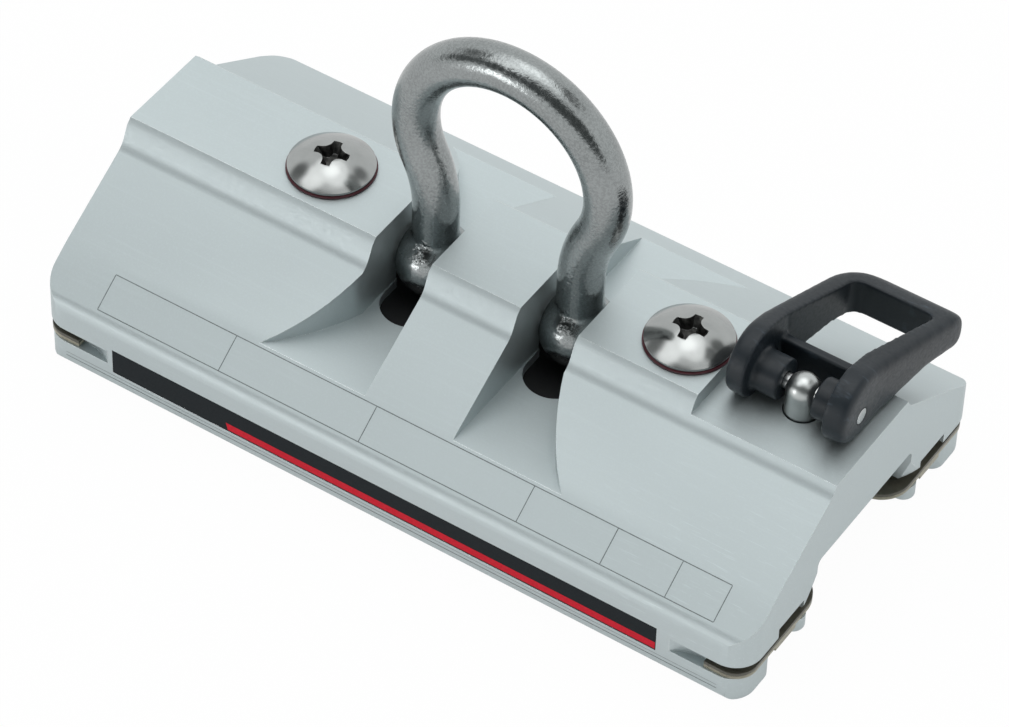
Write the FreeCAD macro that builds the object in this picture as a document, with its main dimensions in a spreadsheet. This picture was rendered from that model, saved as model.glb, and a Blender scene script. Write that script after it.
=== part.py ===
import FreeCAD, Part
import math
import os
import Sketcher

# Track car: an aluminium saddle that runs on two loops of balls along a deck track.
# It carries an upright bow shackle on a cross pin, and at its right-hand end a stop
# plunger that a spring pushes into the holes of the track and a spiral cam lever lifts.
#
# Frame: origin at the middle of the underside, +X along the track towards the plunger,
# +Y across the car, +Z up. Millimetres.

V = FreeCAD.Vector
doc = FreeCAD.newDocument("track_car")

SIZES = (
    # Body, outside
    ("body_length", 172.0),
    ("half_width", 44.5),
    ("body_height", 41.0),
    ("plateau_half", 11.4),
    ("top_chamfer", 1.3),
    ("step_foot_half", 14.7),
    ("step_drop", 5.6),
    ("step_radius", 5.0),
    ("facet_width", 10.15),
    ("crease_drop", 17.4),
    ("shoulder_height", 16.5),
    ("shoulder_radius", 4.0),
    ("skirt_height", 3.4),
    ("skirt_step", 0.3),
    ("foot_radius", 0.9),
    ("foot_width", 15.2),
    ("inner_foot_height", 2.8),
    ("corner_radius", 6.2),
    # Track channel
    ("channel_half", 18.2),
    ("channel_height", 19.3),
    ("channel_radius", 1.6),
    # Shackle slots, their scoops and the wells under the eyes
    ("block_half", 10.69),
    ("slot_outer", 24.37),
    ("slot_floor", 23.05),
    ("slot_overrun", 3.15),
    ("scoop_start", 16.3),
    ("scoop_radius", 48.6),
    ("well_radius", 6.6),
    ("well_half", 15.0),
    # Shackle pin and keeper
    ("pin_height", 29.6),
    ("pin_radius", 4.0),
    ("pin_back", 7.3),
    ("pin_clearance", 0.05),
    ("keeper_overhang", 8.7),
    ("keeper_half_width", 15.8),
    ("keeper_thickness", 1.5),
    ("boss_height", 7.0),
    ("boss_radius", 7.5),
    ("rib_gap", 1.0),
    ("seat_gap", 0.1),
    # Screws
    ("screw_back", 9.2),
    ("screw_radius", 4.0),
    ("screw_clearance", 0.2),
    ("head_radius", 9.25),
    ("head_rim", 0.8),
    ("head_height", 4.0),
    ("washer_radius", 9.5),
    ("washer_thickness", 0.6),
    ("recess_reach", 4.2),
    ("recess_width", 1.3),
    ("recess_core", 1.0),
    ("recess_depth", 2.9),
    # Plunger seat
    ("seat_back", 17.2),
    ("seat_drop", 3.65),
    ("plunger_inset", 16.3),
    ("stem_radius", 3.65),
    ("stem_clearance", 0.3),
    ("housing_radius", 6.0),
    ("roof_thickness", 4.85),
    ("guide_height", 4.0),
    ("tip_radius", 3.9),
    ("tip_clearance", 0.06),
    ("tip_reach", 6.0),
    ("tip_chamfer", 1.0),
    ("dome_drop", 0.3),
    ("collar_radius", 5.6),
    ("collar_height", 2.0),
    ("collar_gap", 0.25),
    ("wire_side", 0.8),
    ("spring_radius", 4.95),
    ("spring_turns", 3.0),
    # Lever
    ("pivot_rise", 5.95),
    ("cam_gap", 0.15),
    ("cam_lift", 3.55),
    ("lever_left", 14.4),
    ("lever_right", 13.3),
    ("throat_left", 9.8),
    ("throat_right", 8.3),
    ("boss_inner", 4.4),
    ("lever_boss_radius", 4.5),
    ("lever_reach", 36.9),
    ("lever_flat", 24.0),
    ("lever_droop", 2.5),
    ("lever_slope", 15.3),
    ("tip_round", 2.2),
    ("lean_start", 6.9),
    ("left_angle", 8.0),
    ("right_lean", 2.6),
    ("left_corner_radius", 10.5),
    ("right_corner_radius", 1.5),
    ("window_start", 9.0),
    ("window_end", 30.7),
    ("window_left_lean", 2.9),
    ("window_right_lean", 3.4),
    ("window_left_corner", 3.0),
    ("window_right_corner", 1.6),
    ("web_start", 6.9),
    ("web_height", 8.5),
    ("lever_pin_radius", 1.7),
    ("lever_pin_inset", 0.1),
    # Ball loops and their end guides
    ("ball_radius", 3.175),
    ("ball_slack", 0.01),
    ("race_clearance", 0.15),
    ("ball_height", 8.0),
    ("loaded_inset", 2.0),
    ("return_inset", 6.1),
    ("turn_inset", 17.5),
    ("slot_low", 6.1),
    ("slot_high", 9.6),
    ("runout_depth", 2.4),
    ("guide_recess", 0.5),
    ("guide_edge_gap", 0.4),
    ("guide_outer_radius", 5.0),
    ("guide_inner_radius", 7.0),
    ("guide_wrap", 3.3),
    ("guide_seam", 6.95),
    ("guide_top", 7.75),
    ("apron_low", 5.2),
    ("relief_height", 12.2),
    ("relief_inner", 4.6),
    ("relief_outer", 4.8),
    ("relief_depth", 6.0),
    ("lobe_recess", 0.8),
    ("lobe_corner", 3.0),
    ("outer_lobe_radius", 5.5),
    ("inner_lobe_recess", 0.2),
    ("lobe_wall", 0.8),
    ("lobe_gap_inner", 3.1),
    ("lobe_gap_outer", 4.7),
    ("flare_low_radius", 15.6),
    ("flare_middle_radius", 18.2),
    ("flare_middle_height", 10.7),
    ("flare_top_radius", 20.2),
    ("flare_reach", 30.0),
    # Shackle
    ("rod_radius", 4.9),
    ("bow_radius", 22.8),
    ("bow_height", 67.5),
    ("neck_radius", 30.0),
    ("leg_place", 17.54),
    ("eye_radius", 8.3),
    ("eye_half_width", 6.4),
    ("eye_blend", 2.6),
    # Label
    ("label_left_inset", 18.7),
    ("label_right_inset", 20.5),
    ("label_bottom", 4.2),
    ("label_top", 10.7),
    ("label_thickness", 0.2),
    # How far a cut runs past the face that it opens
    ("margin", 1.0),
)

# Places that follow from the sizes, as formulas of the sheet
PLACES = (
    ("half_length", "body_length / 2"),
    ("step_foot_height", "body_height - step_drop"),
    ("crease_half", "half_width - facet_width"),
    ("crease_height", "body_height - crease_drop"),
    ("foot_inner_half", "half_width - foot_width"),
    ("slot_reach", "crease_half + slot_overrun"),
    ("seat_floor", "body_height - seat_drop"),
    ("housing_roof", "seat_floor - roof_thickness"),
    ("plunger_place", "half_length - plunger_inset"),
    ("seat_wall", "plunger_place - seat_back"),
    ("screw_place", "seat_wall - screw_back"),
    ("pin_half", "screw_place - pin_back"),
    ("keeper_half_length", "screw_place + keeper_overhang"),
    ("run_inner", "channel_half - loaded_inset"),
    ("run_outer", "half_width - return_inset"),
    ("race_radius", "ball_radius + race_clearance"),
    ("turn_start", "half_length - turn_inset"),
    ("turn_middle", "(run_inner + run_outer) / 2"),
    ("turn_outer", "(run_outer - run_inner) / 2 + race_radius"),
    ("turn_inner", "(run_outer - run_inner) / 2 - race_radius"),
    ("guide_start", "turn_start + turn_inner"),
    ("guide_end", "half_length - guide_recess"),
    ("guide_inner_half", "run_inner - guide_wrap"),
    ("relief_start", "turn_middle - relief_inner"),
    ("relief_end", "turn_middle + relief_outer"),
    ("lobe_end", "half_length - lobe_recess"),
    ("outer_lobe_inner", "turn_middle + lobe_gap_outer"),
    ("inner_lobe_end", "half_length - inner_lobe_recess"),
    ("inner_lobe_inner", "channel_half + lobe_wall"),
    ("inner_lobe_outer", "turn_middle - lobe_gap_inner"),
    ("left_corner_rise", "left_corner_radius * (1 - sin(left_angle))"),
    ("left_lean", "(lever_reach - left_corner_rise - lean_start) * tan(left_angle)"),
    ("label_left", "half_length - label_left_inset"),
    ("label_right", "half_length - label_right_inset"),
)

TOUCH = 0.02
QUARTER = 90.0


def fill_sheet():
    """Keep the sizes and the places that follow from them in one sheet, each under its alias."""
    sheet = doc.addObject("Spreadsheet::Sheet", "size")
    cells = [(alias, str(number)) for alias, number in SIZES]
    cells += [(alias, "=" + formula) for alias, formula in PLACES]
    for row, (alias, content) in enumerate(cells, start=1):
        sheet.set("A%d" % row, alias)
        sheet.set("B%d" % row, content)
        sheet.setAlias("B%d" % row, alias)
    doc.recompute()
    return sheet


sheet = fill_sheet()


def value(expression):
    """The number that an expression in the sheet's aliases gives."""
    return float(sheet.evalExpression(expression))


# Sketches

def new_sketch(body, name, role, offset=None):
    """An empty sketch on one of the body's own planes, shifted along its normal."""
    sketch = body.newObject("Sketcher::SketchObject", name)
    plane = [item for item in body.Origin.OriginFeatures if item.Role == role][0]
    sketch.AttachmentSupport = [(plane, "")]
    sketch.MapMode = "FlatFace"
    if offset:
        sketch.setExpression("AttachmentOffset.Base.z", offset)
    return sketch


def hold_point(sketch, geometry, end, across, up):
    """Hold a point of a sketch at the coordinates that two expressions give."""
    for kind, axis, expression in (("DistanceX", -2, across), ("DistanceY", -1, up)):
        number = value(expression)
        if number == 0:
            sketch.addConstraint(Sketcher.Constraint("PointOnObject", geometry, end, axis))
        elif number > 0:
            index = sketch.addConstraint(Sketcher.Constraint(kind, -1, 1, geometry, end, number))
            sketch.setExpression("Constraints[%d]" % index, expression)
        else:
            index = sketch.addConstraint(Sketcher.Constraint(kind, geometry, end, -1, 1, -number))
            sketch.setExpression("Constraints[%d]" % index, "-1 * (%s)" % expression)


def arc_between(start, finish, radius, turn):
    """The short arc from start to finish; turn is 1 anticlockwise and -1 clockwise."""
    chord = finish - start
    middle = (start + finish) / 2
    reach = math.sqrt(max(radius ** 2 - (chord.Length / 2) ** 2, 0.0))
    left = V(-chord.y, chord.x, 0).normalize()
    centre = middle + left * (reach * turn)
    first, last = (start, finish) if turn > 0 else (finish, start)
    angles = [math.atan2(point.y - centre.y, point.x - centre.x) for point in (first, last)]
    if angles[1] < angles[0]:
        angles[1] += 2 * math.pi
    circle = Part.Circle(centre, V(0, 0, 1), radius)
    return Part.ArcOfCircle(circle, angles[0], angles[1])


def add_path(sketch, corners, arcs=None, closed=True):
    """Lines through corners; arcs maps a side's number to its radius and its turn."""
    arcs = arcs or {}
    points = [V(value(across), value(up), 0) for across, up in corners]
    sides = len(corners) if closed else len(corners) - 1
    ends = []
    for side in range(sides):
        start, finish = points[side], points[(side + 1) % len(points)]
        if side in arcs:
            radius, turn = arcs[side]
            number = sketch.addGeometry(arc_between(start, finish, value(radius), turn))
            index = sketch.addConstraint(Sketcher.Constraint("Radius", number, value(radius)))
            sketch.setExpression("Constraints[%d]" % index, radius)
            ends.append((number, 1, 2) if turn > 0 else (number, 2, 1))
        else:
            number = sketch.addGeometry(Part.LineSegment(start, finish))
            ends.append((number, 1, 2))
    for side in range(sides):
        number, first, last = ends[side]
        hold_point(sketch, number, first, *corners[side])
        if side + 1 < sides or closed:
            following = ends[(side + 1) % sides]
            joint = Sketcher.Constraint("Coincident", number, last, following[0], following[1])
            sketch.addConstraint(joint)
        else:
            hold_point(sketch, number, last, *corners[side + 1])


def add_circle(sketch, across, up, radius):
    """A circle held by its centre and radius."""
    centre = V(value(across), value(up), 0)
    number = sketch.addGeometry(Part.Circle(centre, V(0, 0, 1), value(radius)))
    hold_point(sketch, number, 3, across, up)
    index = sketch.addConstraint(Sketcher.Constraint("Radius", number, value(radius)))
    sketch.setExpression("Constraints[%d]" % index, radius)


def rectangle(left, right, low, high):
    """The four corners of a rectangle."""
    return [(left, low), (right, low), (right, high), (left, high)]


def signed(sign, expression):
    """The expression, or its negative."""
    return expression if sign > 0 else "-1 * (%s)" % expression


# Features

def new_body(name):
    """A PartDesign body whose label names its file."""
    body = doc.addObject("PartDesign::Body", name)
    body.Label = name
    return body


def add_feature(body, kind, name, sketch, length=None, reverse=False, symmetric=False, through=False):
    """A pad or pocket of a sketch."""
    feature = body.newObject("PartDesign::" + kind, name)
    feature.Profile = sketch
    feature.Reversed = reverse
    if symmetric:
        feature.SideType = "Symmetric"
    if through:
        feature.Type = "ThroughAll"
    else:
        feature.setExpression("Length", length)
    doc.recompute()
    return feature


def add_turned(body, kind, name, sketch, angle=360.0, reverse=False):
    """A revolution or groove of a sketch about its own construction axis."""
    feature = body.newObject("PartDesign::" + kind, name)
    feature.Profile = sketch
    feature.ReferenceAxis = (sketch, ["Axis0"])
    feature.Angle = angle
    feature.Reversed = reverse
    doc.recompute()
    return feature


def add_axis(sketch, start, finish):
    """A construction line to turn a profile about."""
    points = [V(value(across), value(up), 0) for across, up in (start, finish)]
    number = sketch.addGeometry(Part.LineSegment(*points), True)
    hold_point(sketch, number, 1, *start)
    hold_point(sketch, number, 2, *finish)


def find_edges(shape, wanted):
    """Names of the edges whose bounding box passes a test."""
    names = []
    for number, edge in enumerate(shape.Edges, start=1):
        if wanted(edge):
            names.append("Edge%d" % number)
    return names


def round_edges(body, name, wanted, radius):
    """Round the edges of the body's tip that pass a test."""
    base = body.Tip
    names = find_edges(base.Shape, wanted)
    if not names:
        raise RuntimeError("no edge to round for " + name)
    feature = body.newObject("PartDesign::Fillet", name)
    feature.Base = (base, names)
    feature.setExpression("Radius", radius)
    doc.recompute()
    return feature


def near(first, second):
    """Whether two places agree."""
    return abs(first - second) < TOUCH


def long_edge_at(across, up):
    """A test for an edge along X at one place of the section."""
    place = (value(across), value(up))

    def test(edge):
        box = edge.BoundBox
        along = box.XLength > TOUCH and box.YLength < TOUCH and box.ZLength < TOUCH
        return along and near(abs(box.Center.y), place[0]) and near(box.Center.z, place[1])
    return test


# Car body

def body_section(body):
    """Half-width profile of the saddle, mirrored, drawn across the track."""
    half = [
        ("size.plateau_half", "size.body_height"),
        ("size.plateau_half + size.top_chamfer", "size.body_height - size.top_chamfer"),
        ("size.step_foot_half", "size.step_foot_height"),
        ("size.crease_half", "size.crease_height"),
        ("size.half_width", "size.shoulder_height"),
        ("size.half_width", "size.skirt_height"),
        ("size.half_width - size.skirt_step", "size.skirt_height"),
        ("size.half_width - size.skirt_step", "0"),
        ("size.foot_inner_half", "0"),
        ("size.foot_inner_half", "size.inner_foot_height"),
        ("size.channel_half", "size.inner_foot_height"),
        ("size.channel_half", "size.channel_height"),
    ]
    mirrored = [(signed(-1, across), up) for across, up in reversed(half)]
    sketch = new_sketch(body, "section", "YZ_Plane")
    add_path(sketch, half + mirrored)
    return add_feature(body, "Pad", "saddle", sketch, "size.body_length", symmetric=True)


def trim_corners(body):
    """Round the plan of the saddle at its four corners."""
    sketch = new_sketch(body, "plan", "XY_Plane")
    wide = "size.body_length"
    add_path(sketch, rectangle("-1 * " + wide, wide, "-1 * " + wide, wide))
    end = "size.half_length"
    side = "size.half_width"
    inset_end = "(size.half_length - size.corner_radius)"
    inset_side = "(size.half_width - size.corner_radius)"
    corners = [
        (end, "-1 * " + inset_side), (end, inset_side),
        (inset_end, side), ("-1 * " + inset_end, side),
        ("-1 * " + end, inset_side), ("-1 * " + end, "-1 * " + inset_side),
        ("-1 * " + inset_end, "-1 * " + side), (inset_end, "-1 * " + side),
    ]
    arcs = {number: ("size.corner_radius", 1) for number in (1, 3, 5, 7)}
    add_path(sketch, corners, arcs)
    add_feature(body, "Pocket", "plan_corners", sketch, "size.body_height", reverse=True)


def scoop_reach(side):
    """Distance along the car of the scoop wall at a distance from the middle."""
    centre = "(size.slot_outer + sqrt(size.scoop_radius ^ 2 - size.scoop_start ^ 2))"
    return "%s - sqrt(size.scoop_radius ^ 2 - (%s) ^ 2)" % (centre, side)


def cut_slots(body):
    """The two shackle slots, each opening at both ends into a round scoop."""
    sketch = new_sketch(body, "slots", "XY_Plane", "size.slot_floor")
    wide = scoop_reach("size.slot_reach")
    for sign in (1, -1):
        corners = [
            (signed(sign, "size.block_half"), "-1 * size.slot_reach"),
            (signed(sign, wide), "-1 * size.slot_reach"),
            (signed(sign, "size.slot_outer"), "-1 * size.scoop_start"),
            (signed(sign, "size.slot_outer"), "size.scoop_start"),
            (signed(sign, wide), "size.slot_reach"),
            (signed(sign, "size.block_half"), "size.slot_reach"),
        ]
        arcs = {1: ("size.scoop_radius", -sign), 3: ("size.scoop_radius", -sign)}
        add_path(sketch, corners, arcs)
    add_feature(body, "Pocket", "shackle_slots", sketch, "size.body_height", reverse=True)


def cut_wells(body):
    """Oblong wells that let the shackle's eyes turn below the slot floors."""
    sketch = new_sketch(body, "wells", "XY_Plane", "size.slot_floor + size.margin")
    straight = "(size.well_half - size.well_radius)"
    for sign in (1, -1):
        middle = signed(sign, "size.leg_place")
        corners = [
            (middle + " + size.well_radius", "-1 * " + straight),
            (middle + " + size.well_radius", straight),
            (middle, "size.well_half"),
            (middle + " - size.well_radius", straight),
            (middle + " - size.well_radius", "-1 * " + straight),
            (middle, "-1 * size.well_half"),
        ]
        arcs = {number: ("size.well_radius", 1) for number in (1, 2, 4, 5)}
        add_path(sketch, corners, arcs)
    add_feature(body, "Pocket", "eye_wells", sketch,
                "size.slot_floor - size.channel_height + 2 * size.margin")


def cut_seat(body):
    """The flat seat at the right-hand end that the lever's cams bear on."""
    sketch = new_sketch(body, "seat", "XY_Plane", "size.seat_floor")
    add_path(sketch, rectangle("size.seat_wall", "size.body_length",
                               "-1 * size.half_width", "size.half_width"))
    add_feature(body, "Pocket", "lever_seat", sketch, "size.body_height", reverse=True)


def cut_round(body, name, place, radius, base, length, reverse=False):
    """A round hole along Z from a height."""
    sketch = new_sketch(body, name + "_outline", "XY_Plane", base)
    for across, up in place:
        add_circle(sketch, across, up, radius)
    add_feature(body, "Pocket", name, sketch, length, reverse=reverse)


def cut_keeper_seat(body):
    """Seat of the keeper plate in the channel's roof, with the groove that takes the pin."""
    sketch = new_sketch(body, "keeper_seat_outline", "XY_Plane", "size.channel_height - size.margin")
    add_path(sketch, rectangle(
        "-1 * (size.keeper_half_length + size.seat_gap)", "size.keeper_half_length + size.seat_gap",
        "-1 * (size.keeper_half_width + size.seat_gap)", "size.keeper_half_width + size.seat_gap"))
    add_feature(body, "Pocket", "keeper_seat", sketch, "size.keeper_thickness + size.margin", reverse=True)
    places = [("size.screw_place", "0"), ("-1 * size.screw_place", "0")]
    cut_round(body, "keeper_boss_holes", places, "size.boss_radius + size.seat_gap",
              "size.channel_height", "size.boss_height + size.seat_gap", reverse=True)
    groove = new_sketch(body, "pin_groove_outline", "YZ_Plane")
    corners = [
        ("size.pin_radius", "size.channel_height"),
        ("size.pin_radius", "size.pin_height"),
        ("0", "size.pin_height + size.pin_radius"),
        ("-1 * size.pin_radius", "size.pin_height"),
        ("-1 * size.pin_radius", "size.channel_height"),
    ]
    add_path(groove, corners, {1: ("size.pin_radius", 1), 2: ("size.pin_radius", 1)})
    add_feature(body, "Pocket", "pin_groove", groove, "2 * size.pin_half", symmetric=True)


def cut_ball_paths(body):
    """Straight races, return bores and the half-round turns that join them."""
    sketch = new_sketch(body, "race_outline", "YZ_Plane")
    for sign in (1, -1):
        add_circle(sketch, signed(sign, "size.run_inner"), "size.ball_height", "size.race_radius")
        add_circle(sketch, signed(sign, "size.run_outer"), "size.ball_height", "size.race_radius")
    add_feature(body, "Pocket", "ball_races", sketch, "2 * size.turn_start", symmetric=True)
    turns = new_sketch(body, "turn_outline", "XY_Plane", "size.ball_height - size.race_radius")
    start = "size.turn_start"
    middle = "size.turn_middle"
    corners = [
        (start, middle + " - size.turn_outer"), (start + " + size.turn_outer", middle),
        (start, middle + " + size.turn_outer"), (start, middle + " + size.turn_inner"),
        (start + " + size.turn_inner", middle), (start, middle + " - size.turn_inner"),
    ]
    arcs = {0: ("size.turn_outer", 1), 1: ("size.turn_outer", 1),
            3: ("size.turn_inner", -1), 4: ("size.turn_inner", -1)}
    end_loops(turns, corners, arcs)
    add_feature(body, "Pocket", "ball_turns", turns, "2 * size.race_radius", reverse=True)


def end_loops(sketch, corners, arcs=None):
    """One outline drawn at each of the four leg ends."""
    for end in (1, -1):
        for side in (1, -1):
            outline = [(signed(end, across), signed(side, up)) for across, up in corners]
            turned = {number: (radius, turn * end * side) for number, (radius, turn) in (arcs or {}).items()}
            add_path(sketch, outline, turned)


def cut_leg_ends(body):
    """Slots for the ball guides, reliefs above them and the lobes below them."""
    reach = "size.body_length"
    outside = "size.half_width + size.margin"
    inside = "size.channel_half - size.margin"
    slot = new_sketch(body, "guide_slot_outline", "XY_Plane", "size.slot_low")
    runout = "(size.guide_start - size.turn_start)"
    cutter = "((%s ^ 2 + size.runout_depth ^ 2) / 2 / size.runout_depth)" % runout
    corners = [
        ("size.guide_start", inside), (reach, inside),
        (reach, outside), ("size.turn_start", outside),
        ("size.turn_start", "size.half_width"),
        ("size.guide_start", "size.half_width - size.runout_depth"),
    ]
    end_loops(slot, corners, {4: (cutter, 1)})
    add_feature(body, "Pocket", "guide_slots", slot, "size.slot_high - size.slot_low", reverse=True)

    relief = new_sketch(body, "relief_outline", "XY_Plane", "size.ball_height")
    end_loops(relief, rectangle("size.half_length - size.relief_depth", reach,
                                "size.relief_start", "size.relief_end"))
    add_feature(body, "Pocket", "end_reliefs", relief, "size.relief_height - size.ball_height", reverse=True)

    lobes = new_sketch(body, "lobe_outline", "XY_Plane", "size.slot_low")
    inner_round = "((size.inner_lobe_outer - size.inner_lobe_inner) / 2)"
    corners = [
        ("size.guide_start", inside), (reach, inside),
        (reach, outside), ("size.guide_start", outside),
        ("size.guide_start", "size.half_width"),
        ("size.lobe_end - size.outer_lobe_radius", "size.half_width"),
        ("size.lobe_end", "size.half_width - size.outer_lobe_radius"),
        ("size.lobe_end", "size.outer_lobe_inner + size.lobe_corner"),
        ("size.lobe_end - size.lobe_corner", "size.outer_lobe_inner"),
        ("size.guide_start", "size.outer_lobe_inner"),
        ("size.guide_start", "size.inner_lobe_outer"),
        ("size.inner_lobe_end - " + inner_round, "size.inner_lobe_outer"),
        ("size.inner_lobe_end", "(size.inner_lobe_outer + size.inner_lobe_inner) / 2"),
        ("size.inner_lobe_end - " + inner_round, "size.inner_lobe_inner"),
        ("size.guide_start", "size.inner_lobe_inner"),
    ]
    arcs = {5: ("size.outer_lobe_radius", -1), 7: ("size.lobe_corner", -1),
            11: (inner_round, -1), 12: (inner_round, -1)}
    end_loops(lobes, corners, arcs)
    add_feature(body, "Pocket", "leg_lobes", lobes, "size.ball_height")


def cut_flare(body, name, end, side):
    """Flare of the channel's mouth, turned about the middle of the balls' turn."""
    sketch = new_sketch(body, name + "_outline", "XZ_Plane", signed(-side, "size.turn_middle"))
    middle = "size.turn_start"
    roof = "size.channel_height - size.channel_radius"
    corners = [
        (middle + " + size.flare_low_radius", "size.slot_low"),
        (middle + " + size.flare_reach", "size.slot_low"),
        (middle + " + size.flare_reach", roof),
        (middle + " + size.flare_top_radius", roof),
        (middle + " + size.flare_middle_radius", "size.flare_middle_height"),
    ]
    add_path(sketch, [(signed(end, across), up) for across, up in corners])
    axis = signed(end, middle)
    add_axis(sketch, (axis, "size.slot_low"), (axis, roof))
    add_turned(body, "Groove", name, sketch, QUARTER, reverse=(end * side > 0))


def cut_label_seat(body):
    """Shallow seat of the label strip in the front face."""
    sketch = new_sketch(body, "label_outline", "XZ_Plane", "size.half_width - size.label_thickness")
    add_path(sketch, rectangle("-1 * size.label_left", "size.label_right",
                               "size.label_bottom", "size.label_top"))
    add_feature(body, "Pocket", "label_seat", sketch, "size.label_thickness + size.margin", reverse=True)


def make_car_body():
    """The machined aluminium saddle."""
    body = new_body("car_body")
    body_section(body)
    round_edges(body, "step_rounds", long_edge_at("size.step_foot_half", "size.step_foot_height"),
                "size.step_radius")
    round_edges(body, "shoulder_rounds", long_edge_at("size.half_width", "size.shoulder_height"),
                "size.shoulder_radius")
    round_edges(body, "foot_rounds", long_edge_at("size.half_width - size.skirt_step", "0"),
                "size.foot_radius")
    round_edges(body, "channel_rounds", long_edge_at("size.channel_half", "size.channel_height"),
                "size.channel_radius")
    trim_corners(body)
    cut_slots(body)
    cut_wells(body)
    cut_seat(body)
    cut_keeper_seat(body)
    cut_round(body, "screw_holes", [("size.screw_place", "0"), ("-1 * size.screw_place", "0")],
              "size.screw_radius + size.screw_clearance", "size.body_height", "size.body_height")
    cut_round(body, "stem_bore", [("size.plunger_place", "0")],
              "size.stem_radius + size.stem_clearance",
              "size.body_height", "size.body_height")
    cut_round(body, "spring_housing", [("size.plunger_place", "0")], "size.housing_radius",
              "size.channel_height - size.margin", "size.housing_roof - size.channel_height + size.margin",
              reverse=True)
    cut_ball_paths(body)
    cut_leg_ends(body)
    for end, end_name in ((-1, "left"), (1, "right")):
        for side, side_name in ((-1, "front"), (1, "rear")):
            cut_flare(body, "flare_%s_%s" % (side_name, end_name), end, side)
    cut_label_seat(body)
    return body


# Shackle, its pin and the keeper

def make_shackle():
    """Forged bow shackle: a round rod bent through a pear shape, with an eye on each leg."""
    body = new_body("shackle")
    arc_angle = "acos((size.leg_place + size.neck_radius) / (size.bow_radius + size.neck_radius))"
    waist = "(size.bow_radius * cos(%s))" % arc_angle
    waist_height = "(size.bow_height - size.bow_radius * sin(%s))" % arc_angle
    leg_top = "(size.bow_height - (size.bow_radius + size.neck_radius) * sin(%s))" % arc_angle
    apex = "(size.bow_height + size.bow_radius)"
    path = new_sketch(body, "bow_path", "XZ_Plane")
    corners = [
        ("size.leg_place", "size.pin_height"),
        ("size.leg_place", leg_top),
        (waist, waist_height),
        ("0", apex),
        ("-1 * " + waist, waist_height),
        ("-1 * size.leg_place", leg_top),
        ("-1 * size.leg_place", "size.pin_height"),
    ]
    arcs = {1: ("size.neck_radius", -1), 2: ("size.bow_radius", 1), 3: ("size.bow_radius", 1),
            4: ("size.neck_radius", -1)}
    add_path(path, corners, arcs, closed=False)
    section = new_sketch(body, "rod_section", "XY_Plane", "size.pin_height")
    add_circle(section, "size.leg_place", "0", "size.rod_radius")
    rod = body.newObject("PartDesign::AdditivePipe", "bow_rod")
    rod.Profile = section
    rod.Spine = (path, ["Edge%d" % number for number in range(1, 7)])
    rod.Mode = "Frenet"
    doc.recompute()

    for sign, side in ((1, "right"), (-1, "left")):
        outline = new_sketch(body, "eye_outline_" + side, "XZ_Plane")
        inner = signed(sign, "size.leg_place") + " - size.eye_half_width"
        outer = signed(sign, "size.leg_place") + " + size.eye_half_width"
        face = "size.pin_height + sqrt(size.eye_radius ^ 2 - size.eye_half_width ^ 2)"
        corners = [(inner, "size.pin_height"), (outer, "size.pin_height"), (outer, face), (inner, face)]
        add_path(outline, corners, {2: ("size.eye_radius", 1)})
        add_axis(outline, ("0", "size.pin_height"), ("size.leg_place", "size.pin_height"))
        add_turned(body, "Revolution", "eye_" + side, outline)

    eye_low = value("size.pin_height")
    eye_top = value("size.pin_height + size.eye_radius")

    def eye_crease(edge):
        box = edge.BoundBox
        return box.YLength > TOUCH and eye_low < box.ZMin and box.ZMax < eye_top
    round_edges(body, "eye_blends", eye_crease, "size.eye_blend")

    bore = new_sketch(body, "eye_bore", "YZ_Plane")
    add_circle(bore, "0", "size.pin_height", "size.pin_radius + size.pin_clearance")
    add_feature(body, "Pocket", "pin_bore", bore, "4 * size.leg_place", symmetric=True)
    return body


def make_shackle_pin():
    """Cross pin along the car that both eyes turn on."""
    body = new_body("shackle_pin")
    sketch = new_sketch(body, "pin_outline", "YZ_Plane")
    add_circle(sketch, "0", "size.pin_height", "size.pin_radius")
    add_feature(body, "Pad", "pin_rod", sketch, "2 * (size.pin_half - size.seat_gap)", symmetric=True)
    return body


def make_keeper():
    """Plate in the channel's roof: ribs under the pin, and bosses that the screws pull up."""
    body = new_body("pin_keeper")
    plate = new_sketch(body, "plate_outline", "XY_Plane", "size.channel_height")
    add_path(plate, rectangle("-1 * size.keeper_half_length", "size.keeper_half_length",
                              "-1 * size.keeper_half_width", "size.keeper_half_width"))
    add_feature(body, "Pad", "plate", plate, "size.keeper_thickness")
    bosses = new_sketch(body, "boss_outline", "XY_Plane", "size.channel_height")
    add_circle(bosses, "size.screw_place", "0", "size.boss_radius")
    add_circle(bosses, "-1 * size.screw_place", "0", "size.boss_radius")
    add_feature(body, "Pad", "bosses", bosses, "size.boss_height")
    ribs = new_sketch(body, "rib_outline", "XY_Plane", "size.channel_height")
    rib = "size.pin_radius - size.seat_gap"
    block = "(size.block_half - size.rib_gap)"
    cheek = "(size.slot_outer + size.rib_gap)"
    end = "(size.pin_half - size.seat_gap)"
    for left, right in (("-1 * " + block, block), (cheek, end), ("-1 * " + end, "-1 * " + cheek)):
        add_path(ribs, rectangle(left, right, "-1 * (%s)" % rib, rib))
    add_feature(body, "Pad", "ribs", ribs, "size.pin_height - size.channel_height")
    cradle = new_sketch(body, "cradle_outline", "YZ_Plane")
    add_circle(cradle, "0", "size.pin_height", "size.pin_radius")
    add_feature(body, "Pocket", "cradle", cradle, "2 * size.pin_half", symmetric=True)
    holes = new_sketch(body, "tapped_outline", "XY_Plane", "size.channel_height")
    add_circle(holes, "size.screw_place", "0", "size.screw_radius")
    add_circle(holes, "-1 * size.screw_place", "0", "size.screw_radius")
    add_feature(body, "Pocket", "tapped_holes", holes, "size.boss_height", reverse=True)
    return body


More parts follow.
